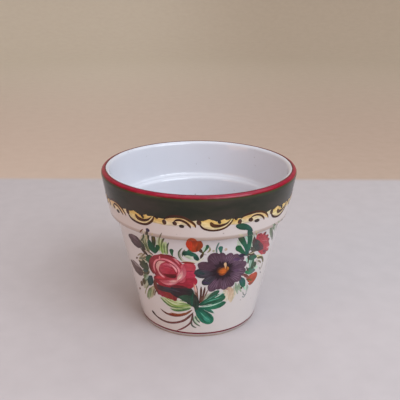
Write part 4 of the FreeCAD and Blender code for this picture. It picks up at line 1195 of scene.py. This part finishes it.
# Each tone: a petal's colours, and those of the fine streaks on it
plum = ("30242a 4e3844 563e4a", "543e4c 664e5c")
ink = ("2a2428 3e363e 3a3e42", "443e48 504e58")
lilac = ("30242c 523c4c 5e4654", "5c4656 786070")
rays = 26


def from_heart(along, up):
    """The place so many degrees and millimetres from the middle of the heart."""
    return heart_angle + along, heart_height + up


daisy_petals = Painting()
for index, (angle, height, width, (colours, streak_colours)) in enumerate((
    (8.0, 69.6, 9.6, plum), (14.9, 69.8, 6.4, plum), (22.0, 68.6, 6.8, lilac), (27.4, 66.6, 6.6, lilac),
    (32.8, 62.8, 6.8, lilac), (36.0, 57.2, 7.4, lilac), (36.4, 50.8, 7.6, lilac), (32.8, 44.8, 7.4, lilac),
    (26.4, 41.2, 7.4, plum), (20.4, 39.6, 7.4, lilac), (14.6, 40.4, 6.6, plum), (8.6, 39.4, 7.4, lilac),
    (2.8, 45.6, 6.8, ink), (-3.2, 54.4, 8.6, ink), (-0.6, 61.8, 7.6, plum),
)):
    across, up = angle - heart_angle, height - heart_height
    petal = [from_heart(across * share, up * share) for share in (0.08, 0.56, 1.0)]
    daisy_petals.stroke(3.6 + 0.12 * (index % 3), bud, width, colours, *petal, thin=0.15)
    for side, reach in ((-0.20, 0.80), (-0.08, 0.92), (0.06, 0.88), (0.19, 0.82)):
        streak = [from_heart((across - up * side) * share, (up + across * side * 0.7) * share)
                  for share in (0.42, reach)]
        daisy_petals.stroke(4.0, leaf, 0.8, streak_colours, *streak, thin=0.15)
# Broad soft touches across the petals
for angle, height, width, colours in (
    (1.6, 54.6, 3.0, "34464a 30403f"), (5.6, 46.6, 2.4, "4a3450 3c4050"),
    (28.0, 53.6, 3.0, "5c4458 543c54"), (26.6, 62.4, 3.0, "5c4260 54405a"),
    (30.4, 64.7, 2.8, "3c3246 322c3a"), (28.0, 61.4, 1.2, "7c6876 94828c"),
):
    touch = ((angle - 3.0, height + 0.8), (angle + 3.0, height - 0.4))
    daisy_petals.stroke(4.1, leaf, width, colours, *touch, thin=0.1)
# Dark rays round the heart
for index in range(rays):
    turn = math.radians(index * 360 / rays + 11)
    reach = 7.0 + 2.6 * (index * 7 % 5) / 4
    ray = [from_heart(length * math.cos(turn), length * 0.9 * math.sin(turn)) for length in (2.0, reach)]
    daisy_petals.stroke(4.2 + 0.05 * (index % 3), leaf, 2.0, "34242a 2e2228 3a2c34", *ray, thin=0.1)
daisy_petals.fire("spray_daisy_petals", "daisy_petals",
                  enamel("enamel_purple", whitening=0.1, pooling=0.25))

daisy_heart = Painting()
for level, kind, width, colours, *places in (
    (4.8, dab, 7.8, "4c2c1c 5c341c 54301c", (12.6, 55.4), (17.2, 55.8), (21.8, 55.8)),
    (4.9, dab, 6.2, "7c4420 9c5420 84481f", (13.6, 55.2), (20.8, 55.8)),
    (5.0, dab, 4.6, "b85624 c4642c b45c1f", (14.6, 55.2), (19.6, 55.2)),
    (5.1, comma, 1.9, "b87840 c8a078 ccac84", (18.6, 56.2), (18.8, 58.6), (18.0, 61.8)),
    (5.2, leaf, 1.4, "7c3c18 8c4418", (14.2, 53.0), (17.0, 52.4), (20.0, 53.6)),
    (5.2, leaf, 1.3, "b07028 a46424", (20.0, 58.4), (20.8, 56.8), (20.6, 55.2)),
):
    daisy_heart.stroke(level, kind, width, colours, *places, thin=0.15)
daisy_heart.fire("spray_daisy_heart", "daisy_heart",
                 enamel("enamel_heart", whitening=0.1, pooling=0.1))
